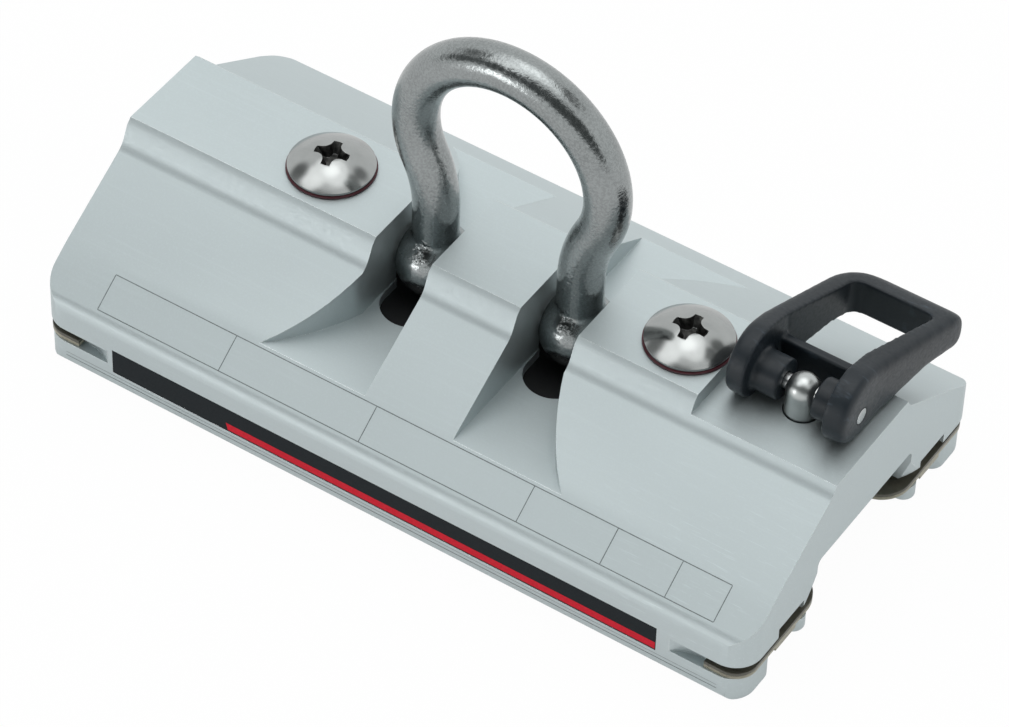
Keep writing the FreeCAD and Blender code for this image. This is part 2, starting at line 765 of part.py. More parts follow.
def make_screw(name, place, turn):
    """Dome-headed screw with a cross recess, through the saddle into the keeper."""
    body = new_body(name)
    seat = "(size.body_height + size.washer_thickness)"
    rise = "(size.head_height - size.head_rim)"
    crown = "((size.head_radius ^ 2 + %s ^ 2) / 2 / %s)" % (rise, rise)
    outline = new_sketch(body, name + "_outline", "XZ_Plane")
    corners = [
        (place, "size.channel_height"),
        (place + " + size.screw_radius", "size.channel_height"),
        (place + " + size.screw_radius", seat),
        (place + " + size.head_radius", seat),
        (place + " + size.head_radius", seat + " + size.head_rim"),
        (place, seat + " + size.head_height"),
    ]
    add_path(outline, corners, {4: (crown, 1)})
    add_axis(outline, (place, "size.channel_height"), (place, seat))
    add_turned(body, "Revolution", name + "_blank", outline)
    cross = new_sketch(body, name + "_cross", "XY_Plane", seat + " + size.head_height")
    half = "(size.recess_width / 2)"
    reach = "size.recess_reach"
    core = "size.recess_core"
    corners = []
    for arm in range(4):
        angle = "(%d + %s)" % (90 * arm, turn)
        for along, across in ((reach, "-1 * " + half), (reach, half), (core, core)):
            corners.append((
                "%s + (%s) * cos(%s) - (%s) * sin(%s)" % (place, along, angle, across, angle),
                "(%s) * sin(%s) + (%s) * cos(%s)" % (along, angle, across, angle)))
    add_path(cross, corners)
    add_feature(body, "Pocket", name + "_recess", cross, "size.recess_depth")
    return body


def make_washer(name, place):
    """Flat seal between screw head and saddle."""
    body = new_body(name)
    sketch = new_sketch(body, name + "_outline", "XY_Plane", "size.body_height")
    add_circle(sketch, place, "0", "size.washer_radius")
    add_circle(sketch, place, "0", "size.screw_radius")
    add_feature(body, "Pad", name + "_ring", sketch, "size.washer_thickness")
    return body


# Plunger, spring, guide bush and lever

PIVOT_HEIGHT = "(size.seat_floor + size.pivot_rise)"
COLLAR_BASE = "(size.channel_height + size.guide_height + size.collar_gap)"


def make_plunger():
    """Stop plunger: domed head, stem, collar under the spring, and a tapered tip."""
    body = new_body("stop_plunger")
    outline = new_sketch(body, "plunger_outline", "XZ_Plane")
    place = "size.plunger_place"
    collar_top = "(%s + size.collar_height)" % COLLAR_BASE
    low = "(size.channel_height - size.tip_reach)"
    dome = "(%s - size.dome_drop)" % PIVOT_HEIGHT
    corners = [
        (place, low),
        (place + " + size.tip_radius - size.tip_chamfer", low),
        (place + " + size.tip_radius", low + " + size.tip_chamfer"),
        (place + " + size.tip_radius", COLLAR_BASE),
        (place + " + size.collar_radius", COLLAR_BASE),
        (place + " + size.collar_radius", collar_top),
        (place + " + size.stem_radius", collar_top),
        (place + " + size.stem_radius", dome),
        (place, dome + " + size.stem_radius"),
    ]
    add_path(outline, corners, {7: ("size.stem_radius", 1)})
    add_axis(outline, (place, low), (place, dome))
    add_turned(body, "Revolution", "plunger_blank", outline)
    hole = new_sketch(body, "plunger_hole", "YZ_Plane", place)
    add_circle(hole, "0", PIVOT_HEIGHT, "size.lever_pin_radius")
    add_feature(body, "Pocket", "lever_pin_hole", hole, "4 * size.stem_radius", symmetric=True)
    return body


def make_guide_bush():
    """Bush that closes the spring housing from below and guides the plunger's tip."""
    body = new_body("plunger_guide")
    sketch = new_sketch(body, "bush_outline", "XY_Plane", "size.channel_height")
    add_circle(sketch, "size.plunger_place", "0", "size.housing_radius")
    add_circle(sketch, "size.plunger_place", "0", "size.tip_radius + size.tip_clearance")
    add_feature(body, "Pad", "bush_ring", sketch, "size.guide_height")
    return body


def make_spring():
    """Compression spring between the plunger's collar and the roof of its housing."""
    body = new_body("plunger_spring")
    low = "(%s + size.collar_height + size.seat_gap)" % COLLAR_BASE
    high = "(size.housing_roof - size.seat_gap)"
    inner = "size.plunger_place + size.spring_radius - size.wire_side / 2"
    sketch = new_sketch(body, "wire_section", "XZ_Plane")
    add_path(sketch, rectangle(inner, inner + " + size.wire_side", low, low + " + size.wire_side"))
    add_axis(sketch, ("size.plunger_place", low), ("size.plunger_place", high))
    coil = body.newObject("PartDesign::AdditiveHelix", "coil")
    coil.Profile = sketch
    coil.ReferenceAxis = (sketch, ["Axis0"])
    coil.Mode = "height-turns-angle"
    coil.setExpression("Height", "%s - %s - size.wire_side" % (high, low))
    coil.setExpression("Turns", "size.spring_turns")
    doc.recompute()
    return body


def lever_profile():
    """Side view of the lever and its arcs: two spiral cams, arms and a blunt tip."""
    step = "(size.cam_lift / 2)"
    base = "(size.pivot_rise - size.cam_gap)"
    low_radius = "(%s + %s / 2)" % (base, step)
    high_radius = "(%s + %s)" % (low_radius, step)
    offset = "(%s / 2)" % step
    pivot = PIVOT_HEIGHT
    bottom = "(%s - %s)" % (pivot, base)
    slope = "size.lever_slope"
    ramp_start = "(%s + %s * sin(%s))" % (offset, high_radius, slope)
    ramp_height = "(%s + %s + %s * cos(%s))" % (pivot, offset, high_radius, slope)
    tip_top = "(%s - tan(%s) * (size.lever_reach - size.tip_round - %s))" % (ramp_height, slope, ramp_start)
    tip_low = "(%s - size.lever_droop)" % bottom
    corners = [
        ("-1 * " + offset, bottom),
        ("size.lever_flat", bottom),
        ("size.lever_reach - size.tip_round", tip_low),
        ("size.lever_reach", tip_low + " + size.tip_round"),
        ("size.lever_reach", tip_top + " - size.tip_round"),
        ("size.lever_reach - size.tip_round", tip_top),
        (ramp_start, ramp_height),
        (offset, "%s + %s + %s" % (pivot, offset, high_radius)),
        ("%s - %s" % (offset, high_radius), "%s + %s" % (pivot, offset)),
    ]
    arcs = {6: (high_radius, 1), 7: (high_radius, 1), 8: (low_radius, 1)}
    return corners, arcs, bottom


def lever_plan():
    """Plan of the lever: its left far corner swings round, its right one is sharp."""
    place = "size.plunger_place"
    left = place + " - size.lever_left"
    right = place + " + size.lever_right"
    far = "size.lever_reach"
    right_end = right + " + size.right_lean"
    return [
        (left, "-1 * size.half_width"),
        (right, "-1 * size.half_width"),
        (right, "size.lean_start"),
        (right_end, far + " - size.right_corner_radius"),
        (right_end + " - size.right_corner_radius", far),
        (left + " + size.left_lean + size.left_corner_radius * cos(size.left_angle)", far),
        (left + " + size.left_lean", far + " - size.left_corner_rise"),
        (left, "size.lean_start"),
    ]


def make_lever():
    """Cam lever: two spiral cams and arms joined by a low web and a crossbar."""
    body = new_body("cam_lever")
    place = "size.plunger_place"
    corners, arcs, bottom = lever_profile()
    outline = new_sketch(body, "lever_outline", "YZ_Plane", place + " - size.lever_left")
    add_path(outline, corners, arcs)
    width = "size.lever_left + size.lever_right + size.right_lean"
    add_feature(body, "Pad", "lever_blank", outline, width)

    plan = new_sketch(body, "plan_outline", "XY_Plane", PIVOT_HEIGHT)
    frame = "size.half_length"
    add_path(plan, rectangle(place + " - " + frame, place + " + " + frame, "-1 * " + frame, frame))
    add_path(plan, lever_plan(), {3: ("size.right_corner_radius", 1), 5: ("size.left_corner_radius", 1)})
    add_feature(body, "Pocket", "plan", plan, "size.body_height", symmetric=True)

    left, right = place + " - size.throat_left", place + " + size.throat_right"
    far_left, far_right = left + " + size.window_left_lean", right + " + size.window_right_lean"
    far = "size.window_end"
    window = new_sketch(body, "window_outline", "XY_Plane", PIVOT_HEIGHT)
    corners = [
        (left, "size.window_start"),
        (right, "size.window_start"),
        (far_right, far + " - size.window_right_corner"),
        (far_right + " - size.window_right_corner", far),
        (far_left + " + size.window_left_corner", far),
        (far_left, far + " - size.window_left_corner"),
    ]
    add_path(window, corners, {2: ("size.window_right_corner", 1), 4: ("size.window_left_corner", 1)})
    add_feature(body, "Pocket", "window", window, "size.body_height", symmetric=True)

    throat = new_sketch(body, "throat_outline", "XY_Plane", PIVOT_HEIGHT)
    add_path(throat, rectangle(left, right, "-1 * size.half_width", "size.web_start"))
    add_feature(body, "Pocket", "throat", throat, "size.body_height", symmetric=True)

    web = new_sketch(body, "web_outline", "XY_Plane", bottom + " + size.web_height")
    add_path(web, rectangle(left, right, "size.web_start - size.margin", "size.window_start + size.margin"))
    add_feature(body, "Pocket", "web_top", web, "size.body_height", reverse=True)

    for sign, side, inner in ((-1, "left", "size.throat_left"), (1, "right", "size.throat_right")):
        start = place + " + " + signed(sign, "size.boss_inner")
        boss = new_sketch(body, "boss_outline_" + side, "YZ_Plane", start)
        add_circle(boss, "0", PIVOT_HEIGHT, "size.lever_boss_radius")
        add_feature(body, "Pad", "boss_" + side, boss, inner + " - size.boss_inner + size.margin",
                    reverse=(sign < 0))

    hole = new_sketch(body, "lever_hole", "YZ_Plane", place)
    add_circle(hole, "0", PIVOT_HEIGHT, "size.lever_pin_radius + size.pin_clearance")
    add_feature(body, "Pocket", "lever_bore", hole, "4 * size.lever_left", symmetric=True)
    return body


def make_lever_pin():
    """Pin through the plunger's head that the lever turns on."""
    body = new_body("lever_pin")
    start = "size.plunger_place - size.lever_left + size.lever_pin_inset"
    sketch = new_sketch(body, "lever_pin_outline", "YZ_Plane", start)
    add_circle(sketch, "0", PIVOT_HEIGHT, "size.lever_pin_radius")
    add_feature(body, "Pad", "lever_pin_rod", sketch,
                "size.lever_left + size.lever_right - 2 * size.lever_pin_inset")
    return body


# Ball loops and their guides

BALL_SIDES = 8
BALL_RINGS = (-45.0, 0.0, 45.0)


def ring_corners(centre, radius, latitude):
    """Corners of one level ring of a ball."""
    flat = radius * math.cos(math.radians(latitude))
    rise = radius * math.sin(math.radians(latitude))
    turns = [2 * math.pi * step / BALL_SIDES for step in range(BALL_SIDES)]
    return [centre + V(flat * math.cos(turn), flat * math.sin(turn), rise) for turn in turns]


def ball_shape(centre):
    """One bearing ball with few faces: two poles and three level rings of flats."""
    radius = value("size.ball_radius")
    rings = [ring_corners(centre, radius, latitude) for latitude in BALL_RINGS]
    bottom, top = centre + V(0, 0, -radius), centre + V(0, 0, radius)
    faces = []
    for step in range(BALL_SIDES):
        after = (step + 1) % BALL_SIDES
        faces.append((bottom, rings[0][after], rings[0][step]))
        faces.append((top, rings[-1][step], rings[-1][after]))
        for low, high in zip(rings, rings[1:]):
            faces.append((low[step], low[after], high[after], high[step]))
    skins = [Part.Face(Part.makePolygon(corners + corners[:1])) for corners in faces]
    return Part.makeSolid(Part.makeShell(skins))


def make_ball_loop(name, side):
    """A full circuit of balls: the loaded run, two turns and the return bore."""
    inner, outer = value("size.run_inner"), value("size.run_outer")
    start = value("size.turn_start")
    turn_radius = (outer - inner) / 2
    middle = (outer + inner) / 2
    straight = 2 * start
    lap = 2 * straight + 2 * math.pi * turn_radius
    count = int(lap / (2 * (value("size.ball_radius") + value("size.ball_slack"))))
    balls = []
    for number in range(count):
        travel = lap * number / count
        if travel < straight:
            along, across = -start + travel, inner
        elif travel < straight + math.pi * turn_radius:
            angle = (travel - straight) / turn_radius
            along = start + turn_radius * math.sin(angle)
            across = middle - turn_radius * math.cos(angle)
        elif travel < 2 * straight + math.pi * turn_radius:
            along, across = start - (travel - straight - math.pi * turn_radius), outer
        else:
            angle = (travel - 2 * straight - math.pi * turn_radius) / turn_radius
            along = -start - turn_radius * math.sin(angle)
            across = middle + turn_radius * math.cos(angle)
        balls.append(ball_shape(V(along, side * across, value("size.ball_height"))))
    loop = doc.addObject("Part::Feature", name)
    loop.Label = name
    loop.Shape = Part.makeCompound(balls)
    return loop


def cut_turn(body, name, end, side, low, high):
    """Clear the balls' turn from a guide."""
    path = new_sketch(body, name + "_path", "XY_Plane", low)
    add_circle(path, signed(end, "size.turn_start"), signed(side, "size.turn_middle"), "size.turn_outer")
    add_feature(body, "Pocket", name + "_turn", path, "%s - %s" % (high, low), reverse=True)


def make_guide(name, end, side, low, high, apron=None):
    """One half of a ball guide: a C-shaped plate round the outside of a turn."""
    body = new_body(name)
    sketch = new_sketch(body, name + "_outline", "XY_Plane", low)
    outer = "size.half_width - size.guide_edge_gap"
    corners = [
        ("size.guide_start", "size.guide_inner_half"),
        ("size.guide_end - size.guide_inner_radius", "size.guide_inner_half"),
        ("size.guide_end", "size.guide_inner_half + size.guide_inner_radius"),
        ("size.guide_end", outer + " - size.guide_outer_radius"),
        ("size.guide_end - size.guide_outer_radius", outer),
        ("size.guide_start", outer),
    ]
    arcs = {1: ("size.guide_inner_radius", end * side), 3: ("size.guide_outer_radius", end * side)}
    add_path(sketch, [(signed(end, across), signed(side, up)) for across, up in corners], arcs)
    add_feature(body, "Pad", name + "_plate", sketch, "%s - %s" % (high, low))
    if apron:
        skirt = new_sketch(body, name + "_skirt", "XY_Plane", apron)
        corners = rectangle("size.guide_start + size.seat_gap", "size.guide_end",
                            "size.inner_lobe_outer + size.seat_gap", "size.outer_lobe_inner - size.seat_gap")
        add_path(skirt, [(signed(end, across), signed(side, up)) for across, up in corners])
        add_feature(body, "Pad", name + "_apron", skirt, "%s - %s" % (high, apron))
    cut_turn(body, name, end, side, apron or low, high)
    return body


def make_label():
    """Thin label strip, flush in the front face."""
    body = new_body("side_label")
    sketch = new_sketch(body, "strip_outline", "XZ_Plane", "size.half_width - size.label_thickness")
    add_path(sketch, rectangle("-1 * size.label_left", "size.label_right",
                               "size.label_bottom", "size.label_top"))
    add_feature(body, "Pad", "strip", sketch, "size.label_thickness")
    return body


parts = [
    make_car_body(),
    make_shackle(),
    make_shackle_pin(),
    make_keeper(),
    make_screw("top_screw_left", "-1 * size.screw_place", "12"),
    make_screw("top_screw_right", "size.screw_place", "2"),
    make_washer("seal_washer_left", "-1 * size.screw_place"),
    make_washer("seal_washer_right", "size.screw_place"),
    make_plunger(),
    make_guide_bush(),
    make_spring(),
    make_lever(),
    make_lever_pin(),
    make_label(),
]
for side, side_name in ((-1, "front"), (1, "rear")):
    parts.append(make_ball_loop("ball_loop_" + side_name, side))
    for end, end_name in ((-1, "left"), (1, "right")):
        corner_name = "%s_%s" % (side_name, end_name)
        parts.append(make_guide("guide_upper_" + corner_name, end, side, "size.guide_seam", "size.guide_top"))
        parts.append(make_guide("guide_lower_" + corner_name, end, side, "size.slot_low", "size.guide_seam",
                                apron="size.apron_low"))


def check_and_write():
    """Stop on any failed feature or bad solid, and write one STEP file for each part."""
    doc.recompute()
    failed = [item.Name for item in doc.Objects if "Invalid" in item.State or "Error" in item.State]
    if failed:
        raise RuntimeError("features failed: " + ", ".join(failed))
    for part in parts:
        if part.Shape.isNull() or not part.Shape.isValid():
            raise RuntimeError("bad shape: " + part.Label)
    os.makedirs("parts", exist_ok=True)
    for part in parts:
        part.Shape.exportStep(os.path.join("parts", part.Label + ".step"))
        box = part.Shape.BoundBox
        print("%-28s solids %3d volume %10.1f  x %7.2f %7.2f  y %7.2f %7.2f  z %7.2f %7.2f" % (
            part.Label, len(part.Shape.Solids), part.Shape.Volume,
            box.XMin, box.XMax, box.YMin, box.YMax, box.ZMin, box.ZMax))


check_and_write()
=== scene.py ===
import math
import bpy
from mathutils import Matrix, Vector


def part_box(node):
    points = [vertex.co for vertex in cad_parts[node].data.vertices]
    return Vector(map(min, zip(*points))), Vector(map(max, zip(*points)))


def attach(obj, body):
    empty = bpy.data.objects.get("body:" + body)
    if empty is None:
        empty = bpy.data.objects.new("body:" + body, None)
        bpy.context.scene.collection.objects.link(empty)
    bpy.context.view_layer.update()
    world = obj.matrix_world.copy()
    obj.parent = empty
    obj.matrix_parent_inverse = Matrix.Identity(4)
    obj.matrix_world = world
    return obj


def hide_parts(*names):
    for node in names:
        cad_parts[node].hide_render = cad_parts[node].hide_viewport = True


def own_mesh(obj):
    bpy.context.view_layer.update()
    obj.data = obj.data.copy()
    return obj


bl_info = {
    "name": "Track car dressing",
    "version": (1, 0, 0),
    "blender": (4, 5, 0),
    "location": "View3D > Sidebar > Track car",
    "description": "Gives the track car its finished pieces, materials and stage",
    "category": "Object",
}

import bmesh
import bpy
from bpy.props import FloatProperty, FloatVectorProperty, IntProperty, PointerProperty
from mathutils import Matrix, Vector

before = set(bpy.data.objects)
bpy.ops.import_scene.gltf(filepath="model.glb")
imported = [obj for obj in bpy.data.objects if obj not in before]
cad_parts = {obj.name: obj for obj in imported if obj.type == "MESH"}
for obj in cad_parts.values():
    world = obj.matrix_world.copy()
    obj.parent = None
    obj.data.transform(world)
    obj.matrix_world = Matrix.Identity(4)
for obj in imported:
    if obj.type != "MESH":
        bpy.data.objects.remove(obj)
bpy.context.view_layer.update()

MM = 0.001
CORNERS = [side + "_" + end for side in ("front", "rear") for end in ("left", "right")]


# Places read from the frame

SADDLE_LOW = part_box("car_body")[0]
LABEL_LOW, LABEL_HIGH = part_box("side_label")
PLUNGER_LOW, PLUNGER_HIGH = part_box("stop_plunger")
SPRING_LOW, SPRING_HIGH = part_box("plunger_spring")
BALLS_LOW, BALLS_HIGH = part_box("ball_loop_rear")
PIN_LOW, PIN_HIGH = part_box("lever_pin")
PLUNGER_X = (PLUNGER_LOW[0] + PLUNGER_HIGH[0]) / 2
BALL_RADIUS = (BALLS_HIGH[2] - BALLS_LOW[2]) / 2
BALL_HEIGHT = (BALLS_HIGH[2] + BALLS_LOW[2]) / 2
PIVOT_HEIGHT = (PIN_LOW[2] + PIN_HIGH[2]) / 2


# Settings

COLOUR = {"size": 3, "min": 0.0, "max": 1.0, "subtype": "COLOR"}
LENGTH = {"min": 0.0, "subtype": "DISTANCE", "unit": "LENGTH"}


class SaddleSettings(bpy.types.PropertyGroup):
    """Finish of the machined body."""
    edge: FloatProperty(
        name="Edge round", description="Radius of the broken edges of the machined body",
        default=0.5 * MM, **LENGTH)
    colour: FloatVectorProperty(
        name="Aluminium", description="Colour of the clear anodised aluminium",
        default=(0.515, 0.57, 0.58), **COLOUR)
    # The edges' colour is partly bare worn metal and partly a painted highlight along the broken
    # edges.
    worn_edge_and_highlight_colour: FloatVectorProperty(
        name="Edges", description="Colour of the broken edges, where the cutter left a shine",
        default=(0.94, 0.97, 0.98), **COLOUR)
    line_width: FloatProperty(
        name="Frame line", description="Width of the engraved frame lines",
        default=0.2 * MM, **LENGTH)
    # The engraved frame lines and the painted shadow lines under the skirt's ledges share this
    # colour.
    line_and_shadow_colour: FloatVectorProperty(
        name="Line", description="Colour of the engraved lines",
        default=(0.16, 0.18, 0.185), **COLOUR)


class LabelSettings(bpy.types.PropertyGroup):
    """Strip in the front face."""
    colour: FloatVectorProperty(
        name="Strip", description="Colour of the label strip",
        default=(0.008, 0.012, 0.015), **COLOUR)
    stripe_colour: FloatVectorProperty(
        name="Stripe", description="Colour of the stripe along the label",
        default=(0.66, 0.012, 0.03), **COLOUR)
    stripe_start: FloatProperty(
        name="Stripe start", description="Where the stripe starts along the car",
        default=-38.1 * MM, subtype="DISTANCE", unit="LENGTH")
    stripe_rise: FloatProperty(
        name="Stripe rise", description="Height of the stripe's lower edge above the label's",
        default=0.4 * MM, **LENGTH)
    stripe_height: FloatProperty(
        name="Stripe height", description="Height of the stripe",
        default=1.85 * MM, **LENGTH)


class SteelSettings(bpy.types.PropertyGroup):
    """Stainless pieces."""
    shackle_colour: FloatVectorProperty(
        name="Shackle", description="Colour of the tumbled shackle",
        default=(0.265, 0.28, 0.28), **COLOUR)
    screw_colour: FloatVectorProperty(
        name="Screws", description="Colour of the polished screws",
        default=(0.37, 0.38, 0.375), **COLOUR)
    pin_colour: FloatVectorProperty(
        name="Pins", description="Colour of the shackle's and the lever's pin",
        default=(0.62, 0.63, 0.63), **COLOUR)
    plunger_colour: FloatVectorProperty(
        name="Plunger", description="Colour of the turned plunger",
        default=(0.50, 0.52, 0.515), **COLOUR)
    edge: FloatProperty(
        name="Edge round", description="Radius of the edges of the turned pieces",
        default=0.12 * MM, **LENGTH)
    shackle_edge: FloatProperty(
        name="Shackle edge", description="Radius of the edges of the forged shackle",
        default=0.3 * MM, **LENGTH)


class LeverSettings(bpy.types.PropertyGroup):
    """Moulded cam lever."""
    colour: FloatVectorProperty(
        name="Lever", description="Colour of the moulded lever",
        default=(0.011, 0.016, 0.021), **COLOUR)
    grain: FloatProperty(
        name="Mesh grain", description="Size of the faces that the lever's rounding is made of",
        default=0.36 * MM, min=0.1 * MM, subtype="DISTANCE", unit="LENGTH")
    inner_rounding: IntProperty(
        name="Inner rounding", description="Smoothing steps for the edges of the window",
        default=5, min=0)
    outer_rounding: IntProperty(
        name="Outer rounding", description="Smoothing steps for the outer edges",
        default=110, min=0)


class BallSettings(bpy.types.PropertyGroup):
    """Ball circuits."""
    colour: FloatVectorProperty(
        name="Ball colour", description="Colour of the bearing balls",
        default=(0.16, 0.14, 0.08), **COLOUR)
    count: IntProperty(
        name="Balls", description="Number of balls in one circuit", default=53, min=1)
    run_inner: FloatProperty(
        name="Loaded run", description="Distance of the loaded run from the middle of the car",
        default=16.2 * MM, **LENGTH)
    run_outer: FloatProperty(
        name="Return run", description="Distance of the return run from the middle of the car",
        default=38.4 * MM, **LENGTH)
    half_run: FloatProperty(
        name="Half run", description="Half the length of a straight run",
        default=68.5 * MM, **LENGTH)


class GuideSettings(bpy.types.PropertyGroup):
    """Ball guides at the leg ends."""
    upper_colour: FloatVectorProperty(
        name="Upper halves", description="Colour of the dark upper halves",
        default=(0.085, 0.08, 0.06), **COLOUR)
    lower_colour: FloatVectorProperty(
        name="Lower halves", description="Colour of the pale lower halves",
        default=(0.37, 0.345, 0.26), **COLOUR)
    lower_clear: FloatProperty(
        name="Clear", description="How much light the lower halves let through",
        default=0.2, min=0.0, max=1.0, subtype="FACTOR")
    edge: FloatProperty(
        name="Edge round", description="Radius of the edges of the guides",
        default=0.1 * MM, **LENGTH)


class TrimSettings(bpy.types.PropertyGroup):
    """Seals under the screws, keeper of the pin and bush of the plunger."""
    seal_colour: FloatVectorProperty(
        name="Seals", description="Colour of the seals under the screw heads",
        default=(0.075, 0.006, 0.014), **COLOUR)
    keeper_colour: FloatVectorProperty(
        name="Keeper", description="Colour of the plate that holds the pin",
        default=(0.006, 0.006, 0.007), **COLOUR)
    bush_colour: FloatVectorProperty(
        name="Bush", description="Colour of the bush that guides the plunger",
        default=(0.03, 0.03, 0.03), **COLOUR)


class SpringSettings(bpy.types.PropertyGroup):
    """Coil spring of the plunger."""
    colour: FloatVectorProperty(
        name="Spring", description="Colour of the spring wire",
        default=(0.5, 0.5, 0.51), **COLOUR)
    turns: FloatProperty(
        name="Turns", description="Number of turns of the coil", default=3.0, min=0.5)
    wire: FloatProperty(
        name="Wire", description="Diameter of the wire",
        default=0.8 * MM, **LENGTH)


class StageSettings(bpy.types.PropertyGroup):
    """Camera, floor and light."""
    azimuth: FloatProperty(
        name="Azimuth", description="Direction of the camera round the car",
        default=math.radians(32.09), subtype="ANGLE", unit="ROTATION")
    elevation: FloatProperty(
        name="Elevation", description="Height of the camera above the horizon",
        default=math.radians(45.91), subtype="ANGLE", unit="ROTATION")
    roll: FloatProperty(
        name="Roll", description="Tilt of the camera about its own axis",
        default=math.radians(2.07), subtype="ANGLE", unit="ROTATION")
    distance: FloatProperty(
        name="Distance", description="Distance of the camera from the point it looks at",
        default=1.032, min=0.1, subtype="DISTANCE", unit="LENGTH")
    lens: FloatProperty(
        name="Lens", description="Focal length on a 36 mm sensor", default=182.6, min=1.0)
    floor_colour: FloatVectorProperty(
        name="Floor", description="Colour of the floor",
        default=(0.90, 0.90, 0.90), **COLOUR)
    world_strength: FloatProperty(
        name="World", description="Strength of the soft light from all round",
        default=1.0, min=0.0)
    lamp_power: FloatProperty(
        name="Lamp", description="Power of the soft lamp at the front left",
        default=1.0, min=0.0, unit="POWER")


GROUPS = (
    ("saddle", SaddleSettings),
    ("label", LabelSettings),
    ("steel", SteelSettings),
    ("lever", LeverSettings),
    ("balls", BallSettings),
    ("guides", GuideSettings),
    ("trim", TrimSettings),
    ("spring", SpringSettings),
    ("stage", StageSettings),
)


class TrackCarSettings(bpy.types.PropertyGroup):
    """All settings of the track car, one group for each piece or group of like pieces."""
    __annotations__ = {name: PointerProperty(type=group) for name, group in GROUPS}


# Meshes

MERGE_DISTANCE = 0.0001 * MM
FLAT_WITHIN = math.radians(0.4)
EDGE_SEGMENTS = 2
LARGE_FACE_WEIGHT = 80


def linked(name, data):
    """A new object in the scene."""
    piece = bpy.data.objects.new(name, data)
    bpy.context.scene.collection.objects.link(piece)
    return piece


def merged_copy(node, name):
    """A copy of a CAD node whose loose triangles are joined into whole faces."""
    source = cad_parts[node]
    mesh = source.data.copy()
    mesh.name = name
    mesh.materials.clear()
    copy = linked(name, mesh)
    shape = bmesh.new()
    shape.from_mesh(mesh)
    shape.transform(source.matrix_world)
    bmesh.ops.remove_doubles(shape, verts=shape.verts, dist=MERGE_DISTANCE)
    bmesh.ops.dissolve_limit(shape, angle_limit=FLAT_WITHIN, verts=shape.verts,
                             edges=shape.edges)
    shape.to_mesh(mesh)
    shape.free()
    mesh.shade_smooth()
    return copy


def break_edges(piece, width, sharp, edge_material):
    """Round the edges that are sharper than an angle in degrees, and even out the shading."""
    if width > 0:
        bevel = piece.modifiers.new("edges", "BEVEL")
        bevel.width = width
        bevel.segments = EDGE_SEGMENTS
        bevel.limit_method = "ANGLE"
        bevel.angle_limit = math.radians(sharp)
        bevel.material = edge_material
    normals = piece.modifiers.new("normals", "WEIGHTED_NORMAL")
    normals.mode = "FACE_AREA"
    normals.weight = LARGE_FACE_WEIGHT


def finished_copy(node, name, edge, materials, body, sharp=30.0):
    """A copy of a CAD node with broken edges and its materials, which stands for the node.

    The last material is the one of the edges.
    """
    copy = merged_copy(node, name)
    for material in materials:
        copy.data.materials.append(material)
    break_edges(copy, edge, sharp, len(materials) - 1)
    made_plain(copy)
    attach(copy, body)
    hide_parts(node)


def made_plain(piece):
    """Turn a piece's modifiers into its mesh."""
    depsgraph = bpy.context.evaluated_depsgraph_get()
    evaluated = piece.evaluated_get(depsgraph)
    mesh = bpy.data.meshes.new_from_object(evaluated, depsgraph=depsgraph)
    piece.modifiers.clear()
    mesh.name = piece.name
    piece.data = mesh


def wear(piece, material, body):
    """Give a piece its material and slot, and let it ride on its body."""
    piece.data.materials.append(material)
    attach(piece, body)


def paint_node(node, material):
    """Give a CAD node that stays a material."""
    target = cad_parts[node]
    for slot in target.material_slots:
        slot.material = material


def slab(shape, corners, thickness, outward):
    """Add a thin closed slab on four corners to a bmesh."""
    lift = Vector(outward).normalized() * thickness
    low = [shape.verts.new(Vector(corner) - lift) for corner in corners]
    high = [shape.verts.new(Vector(corner) + lift) for corner in corners]
    shape.faces.new(low)
    shape.faces.new(list(reversed(high)))
    for index in range(4):
        after = (index + 1) % 4
        shape.faces.new([low[index], high[index], high[after], low[after]])


def mesh_piece(name, shape):
    """An object from a bmesh, with its normals outwards."""
    bmesh.ops.recalc_face_normals(shape, faces=shape.faces)
    mesh = bpy.data.meshes.new(name)
    shape.to_mesh(mesh)
    shape.free()
    return linked(name, mesh)


# Nodes

TURN_RADIUS_SHARE = 0.4999
TURN_POINTS = 24
BALL_SEGMENTS = 20
BALL_RINGS = 12
COIL_RESOLUTION = 48
WIRE_SIDES = 12


def add_node(tree, kind, inputs, **settings):
    """The outputs of a new node, whose inputs are linked to sockets or set to values."""
    node = tree.nodes.new(kind)
    for name, value in settings.items():
        setattr(node, name, value)
    for name, value in inputs.items():
        if isinstance(value, bpy.types.NodeSocket):
            tree.links.new(value, node.inputs[name])
        else:
            node.inputs[name].default_value = value
    return node.outputs


def new_tree(name, inputs):
    """A geometry tree with one geometry output, and the sockets of its named inputs."""
    tree = bpy.data.node_groups.new(name, "GeometryNodeTree")
    for label, kind, value in inputs:
        socket = tree.interface.new_socket(label, in_out="INPUT", socket_type=kind)
        socket.default_value = value
    tree.interface.new_socket("Geometry", in_out="OUTPUT", socket_type="NodeSocketGeometry")
    return tree, tree.nodes.new("NodeGroupInput").outputs


def finish_tree(tree, geometry, place, material):
    """End a tree in its place, with realized instances and a material."""
    moved = add_node(tree, "GeometryNodeTransform", {"Geometry": geometry, "Translation": place})
    realized = add_node(tree, "GeometryNodeRealizeInstances", {"Geometry": moved["Geometry"]})
    painted = add_node(tree, "GeometryNodeSetMaterial", {
        "Geometry": realized["Geometry"], "Material": material})
    add_node(tree, "NodeGroupOutput", {"Geometry": painted["Geometry"]})
    return tree


def tree_piece(name, tree, values, body):
    """A plain mesh from a geometry tree, for one body."""
    piece = linked(name, bpy.data.meshes.new(name))
    modifier = piece.modifiers.new("shape", "NODES")
    modifier.node_group = tree
    for item in tree.interface.items_tree:
        if item.in_out == "INPUT":
            modifier[item.identifier] = values[item.name]
    made_plain(piece)
    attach(piece, body)
    return piece


